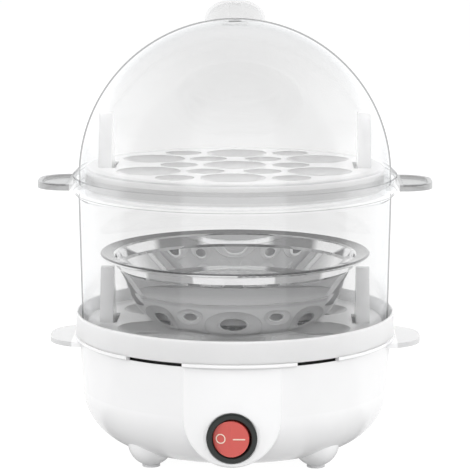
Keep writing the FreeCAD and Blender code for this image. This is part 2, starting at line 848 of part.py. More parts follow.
def heat_spreader():
    disc = cylinder("spreader_disc", d.spreader_radius, d.spreader_thickness, z=spreader_underside)
    stud_foot = strap_top - d.strap_thickness - d.nut_height - d.stud_end_length
    studs = [cylinder(f"spreader_stud_{number}", d.stud_radius, dish_floor_underside - stud_foot,
                      d.stud_offset * side, 0.0, stud_foot)
             for number, side in enumerate((-1.0, 1.0))]
    groove_radius = d.element_radius + d.braze_clearance
    cuts = [element_ring("spreader_groove", groove_radius)]
    for number, angle in enumerate(ELEMENT_ENDS):
        x, y = polar_spot(d.element_ring_radius, angle)
        cuts.append(ball(f"spreader_groove_end_{number}", groove_radius, x, y, element_level))
    cuts.append(cylinder("spreader_mouth", d.thermostat_radius + d.thermostat_clearance, d.spreader_thickness,
                         z=spreader_underside))
    blank = cut("spreader_blank", disc, fused("spreader_cuts", cuts))
    finish(fused("spreader_solid", [blank] + studs), "heat_spreader")


def thermostat():
    body = cylinder("thermostat_cap", d.thermostat_radius, d.thermostat_height, z=strap_top)
    pieces = [body]
    for number, side in enumerate((-1.0, 1.0)):
        pieces.append(block(f"thermostat_blade_{number}", d.terminal_thickness, d.terminal_width,
                            d.terminal_length, d.thermostat_radius * (side * SENSOR_SHARE), 0.0, blade_foot))
    finish(fused("thermostat_solid", pieces), "thermostat")


def thermostat_bracket():
    underside = strap_top - d.strap_thickness
    width = (d.thermostat_radius + d.strap_side_width) * 2.0
    strap = block("strap", d.strap_half_length * 2.0, width, d.strap_thickness, 0.0, 0.0, underside)
    holes = [cylinder("strap_mouth", d.thermostat_radius - d.strap_mouth_margin, d.strap_thickness,
                      z=underside)]
    for number, side in enumerate((-1.0, 1.0)):
        holes.append(cylinder(f"strap_hole_{number}", d.stud_radius + d.seat_gap, d.strap_thickness,
                              d.stud_offset * side, 0.0, underside))
    finish(cut("bracket_solid", strap, fused("strap_holes", holes)), "thermostat_bracket")


def thermostat_nuts():
    nuts = []
    for number, side in enumerate((-1.0, 1.0)):
        foot = strap_top - d.strap_thickness - d.nut_height
        prism = document.addObject("Part::Prism", f"nut_prism_{number}")
        prism.Polygon = 6
        bind(prism, {"Circumradius": d.nut_width / math.sqrt(3.0), "Height": d.nut_height})
        place(prism, d.stud_offset * side, 0.0, foot)
        bore = cylinder(f"nut_bore_{number}", d.stud_radius + d.pilot_clearance, d.nut_height,
                        d.stud_offset * side, 0.0, foot)
        nuts.append(cut(f"nut_{number}", prism, bore))
    finish(group("nut_set", nuts), "thermostat_nuts")


fuse_place = d.thermostat_radius + d.fuse_gap
fuse_level = spreader_underside - d.fuse_radius


def thermal_fuse():
    half = d.fuse_length / 2
    body = cylinder("fuse_body", d.fuse_radius, d.fuse_length, -half, fuse_place, fuse_level, along="+X")
    tails = cylinder("fuse_tails", d.fuse_radius * 0.3, d.fuse_length + d.fuse_tail_length * 2.0,
                     -half - d.fuse_tail_length,
                     fuse_place, fuse_level, along="+X")
    finish(fused("fuse_solid", [body, tails]), "thermal_fuse")


def fuse_clip():
    height = d.fuse_radius * 2.0 + d.strap_thickness
    saddle = block("fuse_saddle", d.fuse_length * 0.4, d.fuse_radius * 2.0 + d.strap_thickness * 2.0, height,
                   0.0, fuse_place, spreader_underside - height)
    half = d.fuse_length / 2
    bed_radius = d.fuse_radius + d.pilot_clearance
    bed = cylinder("fuse_bed", bed_radius, d.fuse_length, -half, fuse_place, fuse_level, along="+X")
    throat = block("fuse_throat", d.fuse_length, bed_radius * 2.0, d.fuse_radius, 0.0, fuse_place, fuse_level)
    finish(cut("fuse_clip_solid", saddle, fused("fuse_clip_room", [bed, throat])), "fuse_clip")


# ---------------------------------------------------------- switch and leads

rocker_room = d.rocker_radius + d.rocker_gap
pivot_line = switch_land - d.bezel_thickness + d.rocker_pivot_depth


def switch_body():
    room_floor = d.bezel_thickness - (d.rocker_pivot_depth + d.rocker_depth + d.rocker_crown_height
                                      + d.rocker_floor_clearance)
    chamfer = d.bezel_thickness * 0.4
    shell = turned("switch_profile", [
        (ZERO, -d.switch_body_depth),
        (d.switch_body_radius, -d.switch_body_depth),
        (d.switch_body_radius, ZERO),
        (d.bezel_radius, ZERO),
        (d.bezel_radius, d.bezel_thickness - chamfer),
        (d.bezel_radius - chamfer, d.bezel_thickness, chamfer),
        (rocker_room + d.edge_radius, d.bezel_thickness),
        (rocker_room, d.bezel_thickness - d.edge_radius),
        (rocker_room, room_floor),
        (ZERO, room_floor),
    ])
    place(shell, 0.0, switch_land, d.switch_level, ALONG["-Y"])
    pivot = cylinder("switch_pivot_bore", d.rocker_pin_radius + d.rocker_pin_clearance, d.bezel_radius * 2.0,
                     0.0, pivot_line, d.switch_level - d.bezel_radius)
    sockets = []
    for number, side in enumerate((-1.0, 1.0)):
        sockets.append(block(f"blade_slot_{number}", d.terminal_thickness, d.terminal_length * 0.5,
                             d.terminal_width, d.switch_body_radius * (side * BLADE_SHARE),
                             switch_land + d.switch_body_depth - d.terminal_length * 0.25,
                             d.switch_level - d.terminal_width / 2))
    finish(cut("switch_solid", shell, fused("switch_cuts", [pivot] + sockets)), "switch_body")


def switch_terminals():
    back = switch_land + d.switch_body_depth
    blades = []
    for number, side in enumerate((-1.0, 1.0)):
        length = d.terminal_length * 1.5
        blades.append(block(f"switch_blade_{number}", d.terminal_thickness, length, d.terminal_width,
                            d.switch_body_radius * (side * BLADE_SHARE),
                            back - d.terminal_length * 0.5 + length / 2,
                            d.switch_level - d.terminal_width / 2))
    finish(group("switch_blade_set", blades), "switch_terminals")


def rocker_button():
    """Two-slope rocker about its own pivot, turned to the off side."""
    reach = rocker_room
    eaves = d.rocker_rise_height - d.rocker_crown_height
    roof = padded("rocker_roof", "XY_Plane", [
        (-reach, d.rocker_depth),
        (-reach, -eaves),
        (ZERO, -d.rocker_rise_height),
        (reach, -eaves),
        (reach, d.rocker_depth),
    ], reach * 2.0, both_ways=True)
    disc = cylinder("rocker_disc", d.rocker_radius, d.rocker_depth + d.rocker_rise_height,
                    0.0, d.rocker_depth, 0.0, along="-Y")
    face = shared("rocker_face", roof, disc)
    half_pin = d.switch_body_radius - d.rocker_pin_end_gap
    pin = cylinder("rocker_pin", d.rocker_pin_radius, half_pin * 2.0, 0.0, 0.0, -half_pin)
    button = fused("rocker_solid", [face, pin])
    button.Placement = Placement(Vector(0, pivot_line.value, d.switch_level.value),
                                 Rotation(Vector(0, 0, -1), d.rocker_swing.value))
    bind(button, {"Placement.Base.y": pivot_line, "Placement.Base.z": d.switch_level})
    finish(button, "rocker_button")


def cord_gland():
    catch = d.gland_neck_radius + d.gland_lip_width
    tail = d.gland_wall + d.gland_tail_length
    rounding = d.edge_radius * 2.0
    gland = turned("gland_profile", [
        (d.gland_bore_radius, -tail),
        (d.gland_neck_radius, -tail),
        (catch, -(d.gland_wall + d.gland_tail_length * 0.4)),
        (catch, -(d.gland_wall + d.seat_gap)),
        (d.gland_neck_radius, -(d.gland_wall + d.seat_gap)),
        (d.gland_neck_radius, ZERO),
        (d.gland_flange_radius, ZERO),
        (d.gland_flange_radius, d.gland_flange_thickness - rounding),
        (d.gland_flange_radius - rounding, d.gland_flange_thickness, rounding),
        (d.gland_bore_radius, d.gland_flange_thickness),
    ])
    finish(place(gland, 0.0, d.gland_land_reach, d.gland_level, ALONG["+Y"]), "cord_gland")


block_foot = d.housing_floor_level + d.housing_wall
block_middle = d.block_reach + d.block_width / 2
pole_level = block_foot + d.block_height * 0.45


def terminal_block():
    body = block("terminal_body", d.block_length, d.block_width, d.block_height,
                 0.0, block_middle, block_foot)
    holes = []
    for number, side in enumerate((-1.0, 1.0)):
        holes.append(cylinder(f"terminal_hole_{number}", d.screw_radius, d.block_width, d.pole_offset * side,
                              d.block_reach, pole_level, along="+Y"))
        holes.append(cylinder(f"terminal_well_{number}", d.stud_radius + d.seat_gap, d.block_height * 0.3,
                              d.pole_offset * side, block_middle, block_foot + d.block_height * 0.7))
    finish(cut("terminal_solid", body, fused("terminal_holes", holes)), "terminal_block")


def terminal_screws():
    screws = [cylinder(f"terminal_screw_{number}", d.stud_radius, d.block_height * 0.25, d.pole_offset * side,
                       block_middle, block_foot + d.block_height * 0.7)
              for number, side in enumerate((-1.0, 1.0))]
    finish(group("terminal_screw_set", screws), "terminal_screws")


def lead_routes():
    """Corners of each lead, from the end of one terminal to the end of the next."""
    gap = d.lead_gap
    blade_side = d.switch_body_radius * BLADE_SHARE
    blade_end = switch_land + d.switch_body_depth + d.terminal_length + gap
    slack_end = blade_end + d.lead_slack_length
    sensor_side = d.thermostat_radius * SENSOR_SHARE
    sensor_end = blade_foot - gap
    sensor_slack = sensor_end - d.lead_slack_length
    fuse_end = d.fuse_length / 2 + d.fuse_tail_length + gap
    fuse_slack = fuse_end + d.lead_slack_length * 0.7
    pin_side, pin_reach = polar_spot(d.element_ring_radius, ELEMENT_ENDS[0])
    pin_end = pin_foot - gap
    pole_end = d.block_reach - gap
    pole_slack = pole_end - d.lead_slack_length
    pin_slack = (pin_end + pole_level) / 2
    floor_run = block_foot + d.lead_radius + gap
    swing = d.lead_swing_width
    return {
        "live_lead": [(-d.pole_offset, pole_end, pole_level), (-d.pole_offset, pole_slack, pole_level),
                      (-swing, fuse_place, floor_run), (-swing, -swing, floor_run),
                      (-blade_side, slack_end, d.switch_level), (-blade_side, blade_end, d.switch_level)],
        "switched_lead": [(blade_side, blade_end, d.switch_level), (blade_side, slack_end, d.switch_level),
                          (-sensor_side, -d.lead_slack_length, sensor_slack),
                          (-sensor_side, ZERO, sensor_slack), (-sensor_side, ZERO, sensor_end)],
        "fuse_lead": [(sensor_side, ZERO, sensor_end), (sensor_side, ZERO, sensor_slack),
                      (fuse_slack, fuse_place, sensor_slack), (fuse_slack, fuse_place, fuse_level),
                      (fuse_end, fuse_place, fuse_level)],
        "element_lead": [(-fuse_end, fuse_place, fuse_level), (-fuse_slack, fuse_place, fuse_level),
                         (-fuse_slack, fuse_place, pin_slack),
                         (-pin_side, pin_reach, pin_slack), (-pin_side, pin_reach, pin_end)],
        "neutral_lead": [(pin_side, pin_reach, pin_end), (pin_side, pin_reach, pin_slack),
                         (d.pole_offset, pole_slack, pole_level), (d.pole_offset, pole_end, pole_level)],
    }


def lead(label, corners):
    """Insulated wire laid straight from corner to corner, mitred at each."""
    spots = [Vector(*[size.value for size in corner]) for corner in corners]
    ring = Part.Wire(Part.makeCircle(d.lead_radius.value, spots[0], spots[1] - spots[0]))
    wire = document.addObject("Part::Feature", f"{label}_wire")
    wire.Shape = Part.makePolygon(spots).makePipeShell([ring], True, False, 1)
    finish(wire, label)


# -------------------------------------------------------------------- trays

def add_pocket(body, name, sketch, length=None):
    pocket = body.newObject("PartDesign::Pocket", name)
    pocket.Profile = sketch
    if length is None:
        pocket.Type = "ThroughAll"
    else:
        pocket.Length = length.value
        pocket.setExpression("Length", length.formula)
    return pocket


def add_pad(body, name, sketch, length):
    pad = body.newObject("PartDesign::Pad", name)
    pad.Profile = sketch
    pad.Length = length.value
    pad.setExpression("Length", length.formula)
    return pad


def repeat_round(body, name, feature, count):
    """Copies of a feature round the body's Z axis."""
    pattern = body.newObject("PartDesign::PolarPattern", name)
    pattern.Originals = [feature]
    pattern.Axis = (origin_plane(body, "Z_Axis"), [""])
    pattern.Angle = 360.0
    pattern.Occurrences = count
    body.Tip = pattern
    return pattern


def rectangle(x_low, x_high, y_low, y_high):
    return [(x_low, y_low), (x_high, y_low), (x_high, y_high), (x_low, y_high)]


def egg_tray(label, foot):
    """Skirted tray with its lattice of holes and two tapered, hollow lifters."""
    body = turned(f"{label}_body", [
        (ZERO, d.tray_height - d.tray_plate),
        (d.tray_radius - d.tray_skirt, d.tray_height - d.tray_plate),
        (d.tray_radius - d.tray_skirt, ZERO),
        (d.tray_radius, ZERO),
        (d.tray_radius, d.tray_height - d.edge_radius * 2.0),
        (d.tray_radius - d.edge_radius * 2.0, d.tray_height),
        (ZERO, d.tray_height),
    ])
    near = d.egg_pitch / math.sqrt(3.0)
    far = near * 2.0
    centre = new_sketch(body, "XY_Plane", f"{label}_centre", lift=d.tray_height)
    draw_circle(centre, 0.0, 0.0, d.egg_hole_radius)
    add_pocket(body, f"{label}_centre_hole", centre)
    lattice = new_sketch(body, "XY_Plane", f"{label}_lattice", lift=d.tray_height)
    draw_circle(lattice, 0.0, -d.egg_pitch, d.egg_hole_radius)
    draw_circle(lattice, near, 0.0, d.steam_hole_radius)
    repeat_round(body, f"{label}_lattice_round", add_pocket(body, f"{label}_lattice_holes", lattice), 6)
    outer = new_sketch(body, "XY_Plane", f"{label}_outer", lift=d.tray_height)
    for side in (-0.5, 0.5):
        draw_circle(outer, far * side, -far * (math.sqrt(3.0) / 2), d.steam_hole_radius)
    repeat_round(body, f"{label}_outer_round", add_pocket(body, f"{label}_outer_holes", outer), 2)
    add_lifters(body, label)
    slot = new_sketch(body, "XY_Plane", f"{label}_slot", lift=d.tray_height)
    draw_outline(slot, rectangle(d.lifter_inner_reach - d.lifter_slot_width, d.lifter_inner_reach,
                                 -d.lifter_foot_width / 2, d.lifter_foot_width / 2))
    repeat_round(body, f"{label}_slot_round", add_pocket(body, f"{label}_slots", slot), 2)
    place(body, 0.0, 0.0, foot)
    finish(body, label)


def lifter_outline(foot_level, top_level, foot_half, tip_half):
    return [(-foot_half, foot_level), (foot_half, foot_level), (tip_half, top_level), (-tip_half, top_level)]


def add_lifters(body, label):
    plate_underside = d.tray_height - d.tray_plate
    top = d.tray_height + d.lifter_height
    blade = new_sketch(body, "YZ_Plane", f"{label}_blade", lift=d.lifter_inner_reach)
    draw_outline(blade, lifter_outline(plate_underside, top, d.lifter_foot_width / 2, d.lifter_tip_width / 2))
    repeat_round(body, f"{label}_blade_round", add_pad(body, f"{label}_blades", blade, d.lifter_thickness), 2)
    hollow = new_sketch(body, "YZ_Plane", f"{label}_blade_hollow", lift=d.lifter_outer_reach - d.lifter_wall)
    draw_outline(hollow, lifter_outline(plate_underside - d.tray_plate, top - d.lifter_wall * 3.0,
                                        d.lifter_foot_width / 2 - d.lifter_wall, d.lifter_tip_width / 4))
    pocket = add_pocket(body, f"{label}_blade_room", hollow, d.lifter_thickness - d.lifter_wall * 2.0)
    repeat_round(body, f"{label}_blade_room_round", pocket, 2)


# --------------------------------------------------------------- steel bowl

def steel_bowl():
    """Spun sheet bowl: stepped floor, round belly, flared side, step, sloping flange with a rolled bead."""
    sheet_metal = d.bowl_sheet
    shoulder = d.bowl_belly_height
    step = shoulder + d.bowl_side_height
    height = step + d.bowl_mouth_height
    step_out = sheet_metal * 1.7
    flange_foot = height - sheet_metal * 1.5
    bead = d.bowl_bead_radius
    bead_centre = d.bowl_rim_radius - bead
    outer_ring = d.bowl_foot_radius - d.bowl_ring_inset
    inner_ring = outer_ring - d.bowl_ring_spacing
    finish(place(turned("bowl_profile", [
        (ZERO, sheet_metal * 2.0),
        (inner_ring, sheet_metal * 2.0),
        (inner_ring + sheet_metal, sheet_metal),
        (outer_ring, sheet_metal),
        (outer_ring + sheet_metal, ZERO),
        (d.bowl_foot_radius, ZERO),
        (d.bowl_shoulder_radius, shoulder, d.bowl_belly_radius),
        (d.bowl_step_radius, step),
        (d.bowl_step_radius + step_out, step + step_out),
        (d.bowl_mouth_radius, flange_foot - sheet_metal),
        (bead_centre, height - sheet_metal * 1.2),
        (bead_centre, height - bead * 2.0),
        (d.bowl_rim_radius, height - bead, bead),
        (bead_centre, height, bead),
        (d.bowl_mouth_radius, flange_foot),
        (d.bowl_mouth_radius - sheet_metal, flange_foot - sheet_metal),
        (d.bowl_step_radius + step_out - sheet_metal, step + step_out),
        (d.bowl_step_radius - sheet_metal, step),
        (d.bowl_shoulder_radius - sheet_metal, shoulder),
        (d.bowl_foot_radius, sheet_metal, -(d.bowl_belly_radius - sheet_metal)),
        (outer_ring + sheet_metal, sheet_metal),
        (outer_ring, sheet_metal * 2.0),
        (inner_ring + sheet_metal, sheet_metal * 2.0),
        (inner_ring, sheet_metal * 3.0),
        (ZERO, sheet_metal * 3.0),
    ]), 0.0, 0.0, bowl_foot), "steel_bowl")


# -------------------------------------------------------- middle tier and lid

def middle_tier():
    ring_foot = ring_top - d.ring_height
    ledge_foot = ledge_top - d.ledge_thickness
    inside = d.ring_inside_radius
    wall = turned("tier_profile", [
        (d.tier_foot_radius - d.tier_wall, tier_foot),
        (d.tier_foot_radius, tier_foot),
        (d.tier_top_radius, ring_foot - d.ring_flare_height),
        (d.ring_radius, ring_foot),
        (d.ring_radius, ring_top),
        (inside, ring_top),
        (inside, ledge_top),
        (d.ledge_mouth_radius, ledge_top),
        (d.ledge_mouth_radius, ledge_foot),
        (d.tier_top_radius - d.tier_wall, ledge_foot),
    ])
    ear_top = ring_top - d.tier_ear_drop_height
    pieces, recesses = [wall], []
    border = d.tier_ear_border
    for side, angle in (("right", 0.0), ("left", 180.0)):
        plate = padded(f"tier_ear_{side}", "XY_Plane",
                       ear_outline(inside, d.tier_ear_reach, d.tier_ear_width, d.tier_ear_corner),
                       d.tier_ear_thickness, lift=ear_top - d.tier_ear_thickness)
        plate = cut(f"tier_ear_trimmed_{side}", plate,
                    cylinder(f"tier_ear_room_{side}", inside + d.ring_wall / 2, ring_top))
        recess = padded(f"tier_ear_recess_{side}", "XY_Plane",
                        ear_outline(d.ring_radius + border, d.tier_ear_reach - border,
                                    d.tier_ear_width - border * 2.0, d.tier_ear_corner - border),
                        d.tier_ear_recess, lift=ear_top - d.tier_ear_recess)
        pieces.append(at_angle(plate, angle))
        recesses.append(at_angle(recess, angle))
    finish(cut("tier_solid", fused("tier_blank", pieces), fused("tier_recesses", recesses)), "middle_tier")


def lid_dome():
    lip_top = lip_foot + d.lip_height
    inner_dome = d.dome_radius - d.dome_wall
    outside = leg(d.dome_radius, lip_top - dome_centre)
    inside = leg(inner_dome, lip_top - dome_centre)
    lip_inside = d.ring_inside_radius
    shell = turned("dome_profile", [
        (ZERO, dome_top),
        (outside, lip_top, -d.dome_radius),
        (d.ring_radius, lip_foot + d.lip_edge),
        (d.ring_radius, lip_foot),
        (lip_inside, lip_foot),
        (outside, lip_foot + lip_inside - outside),
        (outside, lip_foot - d.skirt_depth),
        (inside, lip_foot - d.skirt_depth),
        (inside, lip_top),
        (ZERO, dome_top - d.dome_wall, inner_dome),
    ])
    stem_hole = cylinder("stem_hole", d.knob_stem_radius + d.knob_stem_gap, d.dome_wall * 3.0,
                         z=dome_top - d.dome_wall * 2.0)
    vent = cylinder("steam_vent", d.steam_vent_radius, d.knob_radius * 2.0, 0.0, d.steam_vent_reach,
                    dome_top - d.knob_radius)
    finish(cut("dome_solid", shell, fused("dome_holes", [stem_hole, vent])), "lid_dome")


def lid_knob():
    base = dome_centre + leg(d.dome_radius, d.knob_radius) + d.knob_lift_height
    top = base + d.knob_height
    cap = (d.knob_radius * d.knob_radius + d.knob_height * d.knob_height) / (d.knob_height * 2.0)
    cap_centre = top - cap
    inner_cap = cap - d.knob_wall
    stem_foot = dome_top - d.dome_wall - d.retainer_thickness - d.knob_stem_length
    finish(turned("knob_profile", [
        (ZERO, top),
        (d.knob_radius, base, -cap),
        (leg(inner_cap, base - cap_centre), base),
        (d.knob_stem_radius, cap_centre + leg(inner_cap, d.knob_stem_radius), inner_cap),
        (d.knob_stem_radius, stem_foot),
        (ZERO, stem_foot),
    ]), "lid_knob")


def knob_retainer():
    top = dome_centre + leg(d.dome_radius - d.dome_wall, d.retainer_radius)
    disc = cylinder("retainer_disc", d.retainer_radius, d.retainer_thickness, z=top - d.retainer_thickness)
    bore = cylinder("retainer_bore", d.knob_stem_radius + d.pilot_clearance, d.retainer_thickness,
                    z=top - d.retainer_thickness)
    finish(cut("retainer_solid", disc, bore), "knob_retainer")


# ------------------------------------------------------------------- output

def check_solids():
    document.recompute()
    for thing in document.Objects:
        if "Invalid" in thing.State or "Error" in thing.State:
            raise RuntimeError(f"{thing.Name} did not compute: {thing.State}")
    for thing in finished:
        if thing.Shape.isNull() or not thing.Shape.isValid() or not thing.Shape.Solids:
            raise RuntimeError(f"{thing.Label} has no sound solid")


def write_steps():
    os.makedirs("parts", exist_ok=True)
    for thing in finished:
        thing.Shape.exportStep(f"parts/{thing.Label}.step")


base_housing()
foot_pads()
housing_screws()
collar_ring()
plate_seal()
heating_plate()
plate_clips()
clip_screws()
heat_spreader()
heater_element()
thermostat()
thermostat_bracket()
thermostat_nuts()
thermal_fuse()
fuse_clip()
switch_body()
switch_terminals()
rocker_button()
cord_gland()
terminal_block()
terminal_screws()
for label, corners in lead_routes().items():
    lead(label, corners)
egg_tray("lower_egg_tray", lower_tray_foot)
steel_bowl()
middle_tier()
egg_tray("upper_egg_tray", upper_tray_foot)
lid_dome()
lid_knob()
knob_retainer()
check_solids()
write_steps()
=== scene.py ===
import math

import bmesh
import bpy
from mathutils import Matrix, Vector


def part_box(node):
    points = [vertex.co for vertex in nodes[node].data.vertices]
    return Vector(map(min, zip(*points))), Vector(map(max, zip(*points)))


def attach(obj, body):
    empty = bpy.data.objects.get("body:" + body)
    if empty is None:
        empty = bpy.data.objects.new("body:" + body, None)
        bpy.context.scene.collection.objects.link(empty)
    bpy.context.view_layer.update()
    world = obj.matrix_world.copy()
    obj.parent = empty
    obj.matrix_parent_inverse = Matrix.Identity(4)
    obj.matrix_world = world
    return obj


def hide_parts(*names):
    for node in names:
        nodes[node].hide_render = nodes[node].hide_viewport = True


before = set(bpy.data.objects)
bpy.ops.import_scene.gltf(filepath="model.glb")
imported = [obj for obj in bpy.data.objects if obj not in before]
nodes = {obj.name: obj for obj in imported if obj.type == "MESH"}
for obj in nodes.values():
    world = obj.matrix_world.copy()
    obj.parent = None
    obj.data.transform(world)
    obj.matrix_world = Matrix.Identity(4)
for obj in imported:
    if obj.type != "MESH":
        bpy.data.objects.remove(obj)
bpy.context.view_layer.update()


# ---------------------------------------------------------------- node trees

NOISE_ROUGHNESS = 0.55
MASK_SOFT = 0.0001
LEVEL_SOFT = 0.1


class Nodes:
    """The node tree of a material or of the world, under construction."""

    def __init__(self, owner, output, coordinates):
        owner.use_nodes = True
        self.owner = owner
        self.tree = owner.node_tree
        self.tree.nodes.clear()
        self.output = self.add(output)
        self.place = self.add("ShaderNodeTexCoord").outputs[coordinates]
        self.split = None

    def add(self, kind, **settings):
        node = self.tree.nodes.new(kind)
        for key, value in settings.items():
            setattr(node, key, value)
        return node

    def link(self, source, target):
        self.tree.links.new(source, target)

    def surface(self, shader):
        self.link(shader, self.output.inputs["Surface"])
        return self.owner

    def noise(self, scale, detail):
        node = self.add("ShaderNodeTexNoise")
        node.inputs["Scale"].default_value = scale
        node.inputs["Detail"].default_value = detail
        node.inputs["Roughness"].default_value = NOISE_ROUGHNESS
        self.link(self.place, node.inputs["Vector"])
        return node.outputs["Fac"]

    def ramp(self, source, stops):
        """Colour ramp; a stop is (position, grey or colour)."""
        node = self.add("ShaderNodeValToRGB")
        band = node.color_ramp
        while len(band.elements) < len(stops):
            band.elements.new(0.5)
        for element, (position, tone) in zip(band.elements, stops):
            colour = tone if isinstance(tone, tuple) else (tone, tone, tone)
            element.position = position
            element.color = (*colour, 1.0)
        self.link(source, node.inputs["Fac"])
        return node.outputs["Color"]

    def spread(self, source, low, high):
        """Stretch 0 to 1 over low to high."""
        node = self.add("ShaderNodeMapRange")
        node.inputs["To Min"].default_value = low
        node.inputs["To Max"].default_value = high
        self.link(source, node.inputs["Value"])
        return node.outputs["Result"]

    def bump(self, height, strength, distance):
        node = self.add("ShaderNodeBump")
        node.inputs["Strength"].default_value = strength
        node.inputs["Distance"].default_value = distance
        self.link(height, node.inputs["Height"])
        return node.outputs["Normal"]

    def maths(self, operation, first, second=0.0):
        node = self.add("ShaderNodeMath", operation=operation)
        for socket, value in zip(node.inputs, (first, second)):
            if isinstance(value, float):
                socket.default_value = value
            else:
                self.link(value, socket)
        return node.outputs["Value"]

    def mixed(self, kind, factor, first, second):
        node = self.add("ShaderNodeMix", data_type="RGBA", blend_type=kind)
        for socket, value in (("Factor", factor), ("A", first), ("B", second)):
            target = [entry for entry in node.inputs if entry.name == socket and entry.enabled][0]
            if not isinstance(value, float):
                self.link(value, target)
            elif socket == "Factor":
                target.default_value = value
            else:
                target.default_value = (value, value, value, 1.0)
        return [entry for entry in node.outputs if entry.enabled][0]

    def blend(self, factor, first, second):
        """first where the factor is 0, second where it is 1."""
        return self.mixed("MIX", factor, first, second)

    def times(self, first, second):
        return self.mixed("MULTIPLY", 1.0, first, second)

    def toned(self, tone, mask, share):
        """The tone, times the share where the mask is 1."""
        return self.times(tone, self.blend(mask, 1.0, share))

    def layered(self, share, first, second):
        """Shader first where the share is 0, shader second where it is 1."""
        node = self.add("ShaderNodeMixShader")
        if isinstance(share, float):
            node.inputs["Fac"].default_value = share
        else:
            self.link(share, node.inputs["Fac"])
        self.link(first, node.inputs[1])
        self.link(second, node.inputs[2])
        return node.outputs["Shader"]

    def axis(self, letter):
        if not self.split:
            self.split = self.add("ShaderNodeSeparateXYZ")
            self.link(self.place, self.split.inputs["Vector"])
        return self.split.outputs[letter]

    def reach(self):
        """Distance from the upright axis."""
        across = self.maths("POWER", self.axis("X"), 2.0)
        along = self.maths("POWER", self.axis("Y"), 2.0)
        return self.maths("SQRT", self.maths("ADD", across, along))

    def sideways(self):
        """Distance from the middle plane, the same to the left and to the right."""
        return self.maths("ABSOLUTE", self.axis("X"))

    def turn(self):
        """0 straight in front of the object and 1 straight behind it, the same on both sides."""
        front = self.maths("MULTIPLY", self.axis("Y"), -1.0)
        return self.maths("DIVIDE", self.maths("ARCTAN2", self.sideways(), front), math.pi)

    def over(self, value, limit, soft=MASK_SOFT):
        """0 below the limit, 1 above it, across a short ramp."""
        node = self.add("ShaderNodeMapRange")
        node.inputs["From Min"].default_value = limit - soft
        node.inputs["From Max"].default_value = limit + soft
        self.link(value, node.inputs["Value"])
        return node.outputs["Result"]

    def under(self, value, limit):
        """1 below the limit, 0 above it."""
        return self.none(self.over(value, limit))

    def none(self, mask):
        """The mask turned round."""
        return self.maths("SUBTRACT", 1.0, mask)

    def both(self, first, second):
        """1 where both masks are 1."""
        return self.maths("MULTIPLY", first, second)

    def upward(self):
        """How far the face looks up, from -1 to 1."""
        normal = self.add("ShaderNodeSeparateXYZ")
        self.link(self.add("ShaderNodeNewGeometry").outputs["Normal"], normal.inputs["Vector"])
        return normal.outputs["Z"]

    def level_face(self, least):
        """1 on faces that look up or down at least as steeply as the limit says."""
        return self.over(self.maths("ABSOLUTE", self.upward()), least, LEVEL_SOFT)

    def facing(self):
        """0 where the surface is seen face on, 1 where it is seen edge on."""
        weight = self.add("ShaderNodeLayerWeight")
        weight.inputs["Blend"].default_value = 0.5
        return weight.outputs["Facing"]


def material(name):
    return Nodes(bpy.data.materials.new(name), "ShaderNodeOutputMaterial", "Object")


# --------------------------------------------------------------------- masks

HOUSING_EAR_FOOT = 0.0772
HOUSING_EAR_SOFT = 0.0004
SLOT_LOW = 0.0490
SLOT_HIGH = 0.0567
HOUSING_INSIDE = 0.0743
SPIGOT_SKIN = 0.0715
TRAY_EDGE = 0.0655
TRAY_EDGE_SOFT = 0.0015
TRAY_EDGE_LEAST = 0.15
FLANGE_MOUTH = 0.0581
FLANGE_LEAST = 0.3
FLANGE_SOFT = 0.05
WALL_FOOT = 0.0581
WALL_LEAN = 0.01777
WALL_MIDDLE = 0.0727
RING_FOOT = 0.1240
RING_FOOT_SOFT = 0.0004
RING_FLARE_SOFT = 0.0012
RING_PROUD = 0.0026
RING_HOLLOW = 0.0600
RING_EDGE = 0.1252
RING_EDGE_HALF = 0.0002
RING_EDGE_REACH = 0.0768
TIER_EAR_FOOT = 0.0774
DOME_CENTRE = 0.1323
DOME_MIDDLE = 0.07365
STEM_MASK_REACH = 0.0034
STEM_MASK_TOP = 0.2136


# The housing's ears, which are painted greyer as painted shade.
def housing_ears(s):
    return s.over(s.sideways(), HOUSING_EAR_FOOT, HOUSING_EAR_SOFT)


def slot_back_shade(s):
    """Outer face of the collar's spigot, behind the vent slots, painted almost black as painted shade."""
    return s.both(s.under(s.axis("Z"), SLOT_HIGH), s.over(s.reach(), SPIGOT_SKIN))


def slot_side_shade(s):
    """Inner faces of the housing's wall, round the vent slots, painted almost black as painted shade."""
    return s.both(s.under(s.reach(), HOUSING_INSIDE), s.over(s.axis("Z"), SLOT_LOW))


def tray_rim(s):
    """Rounded upper edge of the plate, without its skirt."""
    return s.both(s.over(s.reach(), TRAY_EDGE, TRAY_EDGE_SOFT), s.level_face(TRAY_EDGE_LEAST))


def tray_skirt(s):
    """Upright border of the plate, painted whiter as painted light."""
    return s.both(s.over(s.reach(), TRAY_EDGE, TRAY_EDGE_SOFT), s.none(s.level_face(TRAY_EDGE_LEAST)))


def flange_top(s):
    """Upper face of the bowl's flange, darkened as painted shade."""
    return s.both(s.over(s.reach(), FLANGE_MOUTH), s.over(s.upward(), FLANGE_LEAST, FLANGE_SOFT))


def tier_outside(s):
    """Outer skin of the tier, whose wall leans out and whose ring stands 2.6 mm proud of it."""
    lean = s.maths("MULTIPLY", s.maths("SUBTRACT", s.axis("Z"), WALL_FOOT), WALL_LEAN)
    proud = s.maths("MULTIPLY", s.over(s.axis("Z"), RING_FOOT, RING_FLARE_SOFT), RING_PROUD)
    return s.over(s.maths("SUBTRACT", s.maths("SUBTRACT", s.reach(), lean), proud), WALL_MIDDLE)


def tier_ring(s):
    return s.both(s.over(s.axis("Z"), RING_FOOT, RING_FOOT_SOFT), s.over(s.reach(), RING_HOLLOW))


def tier_ears(s):
    return s.over(s.sideways(), TIER_EAR_FOOT)


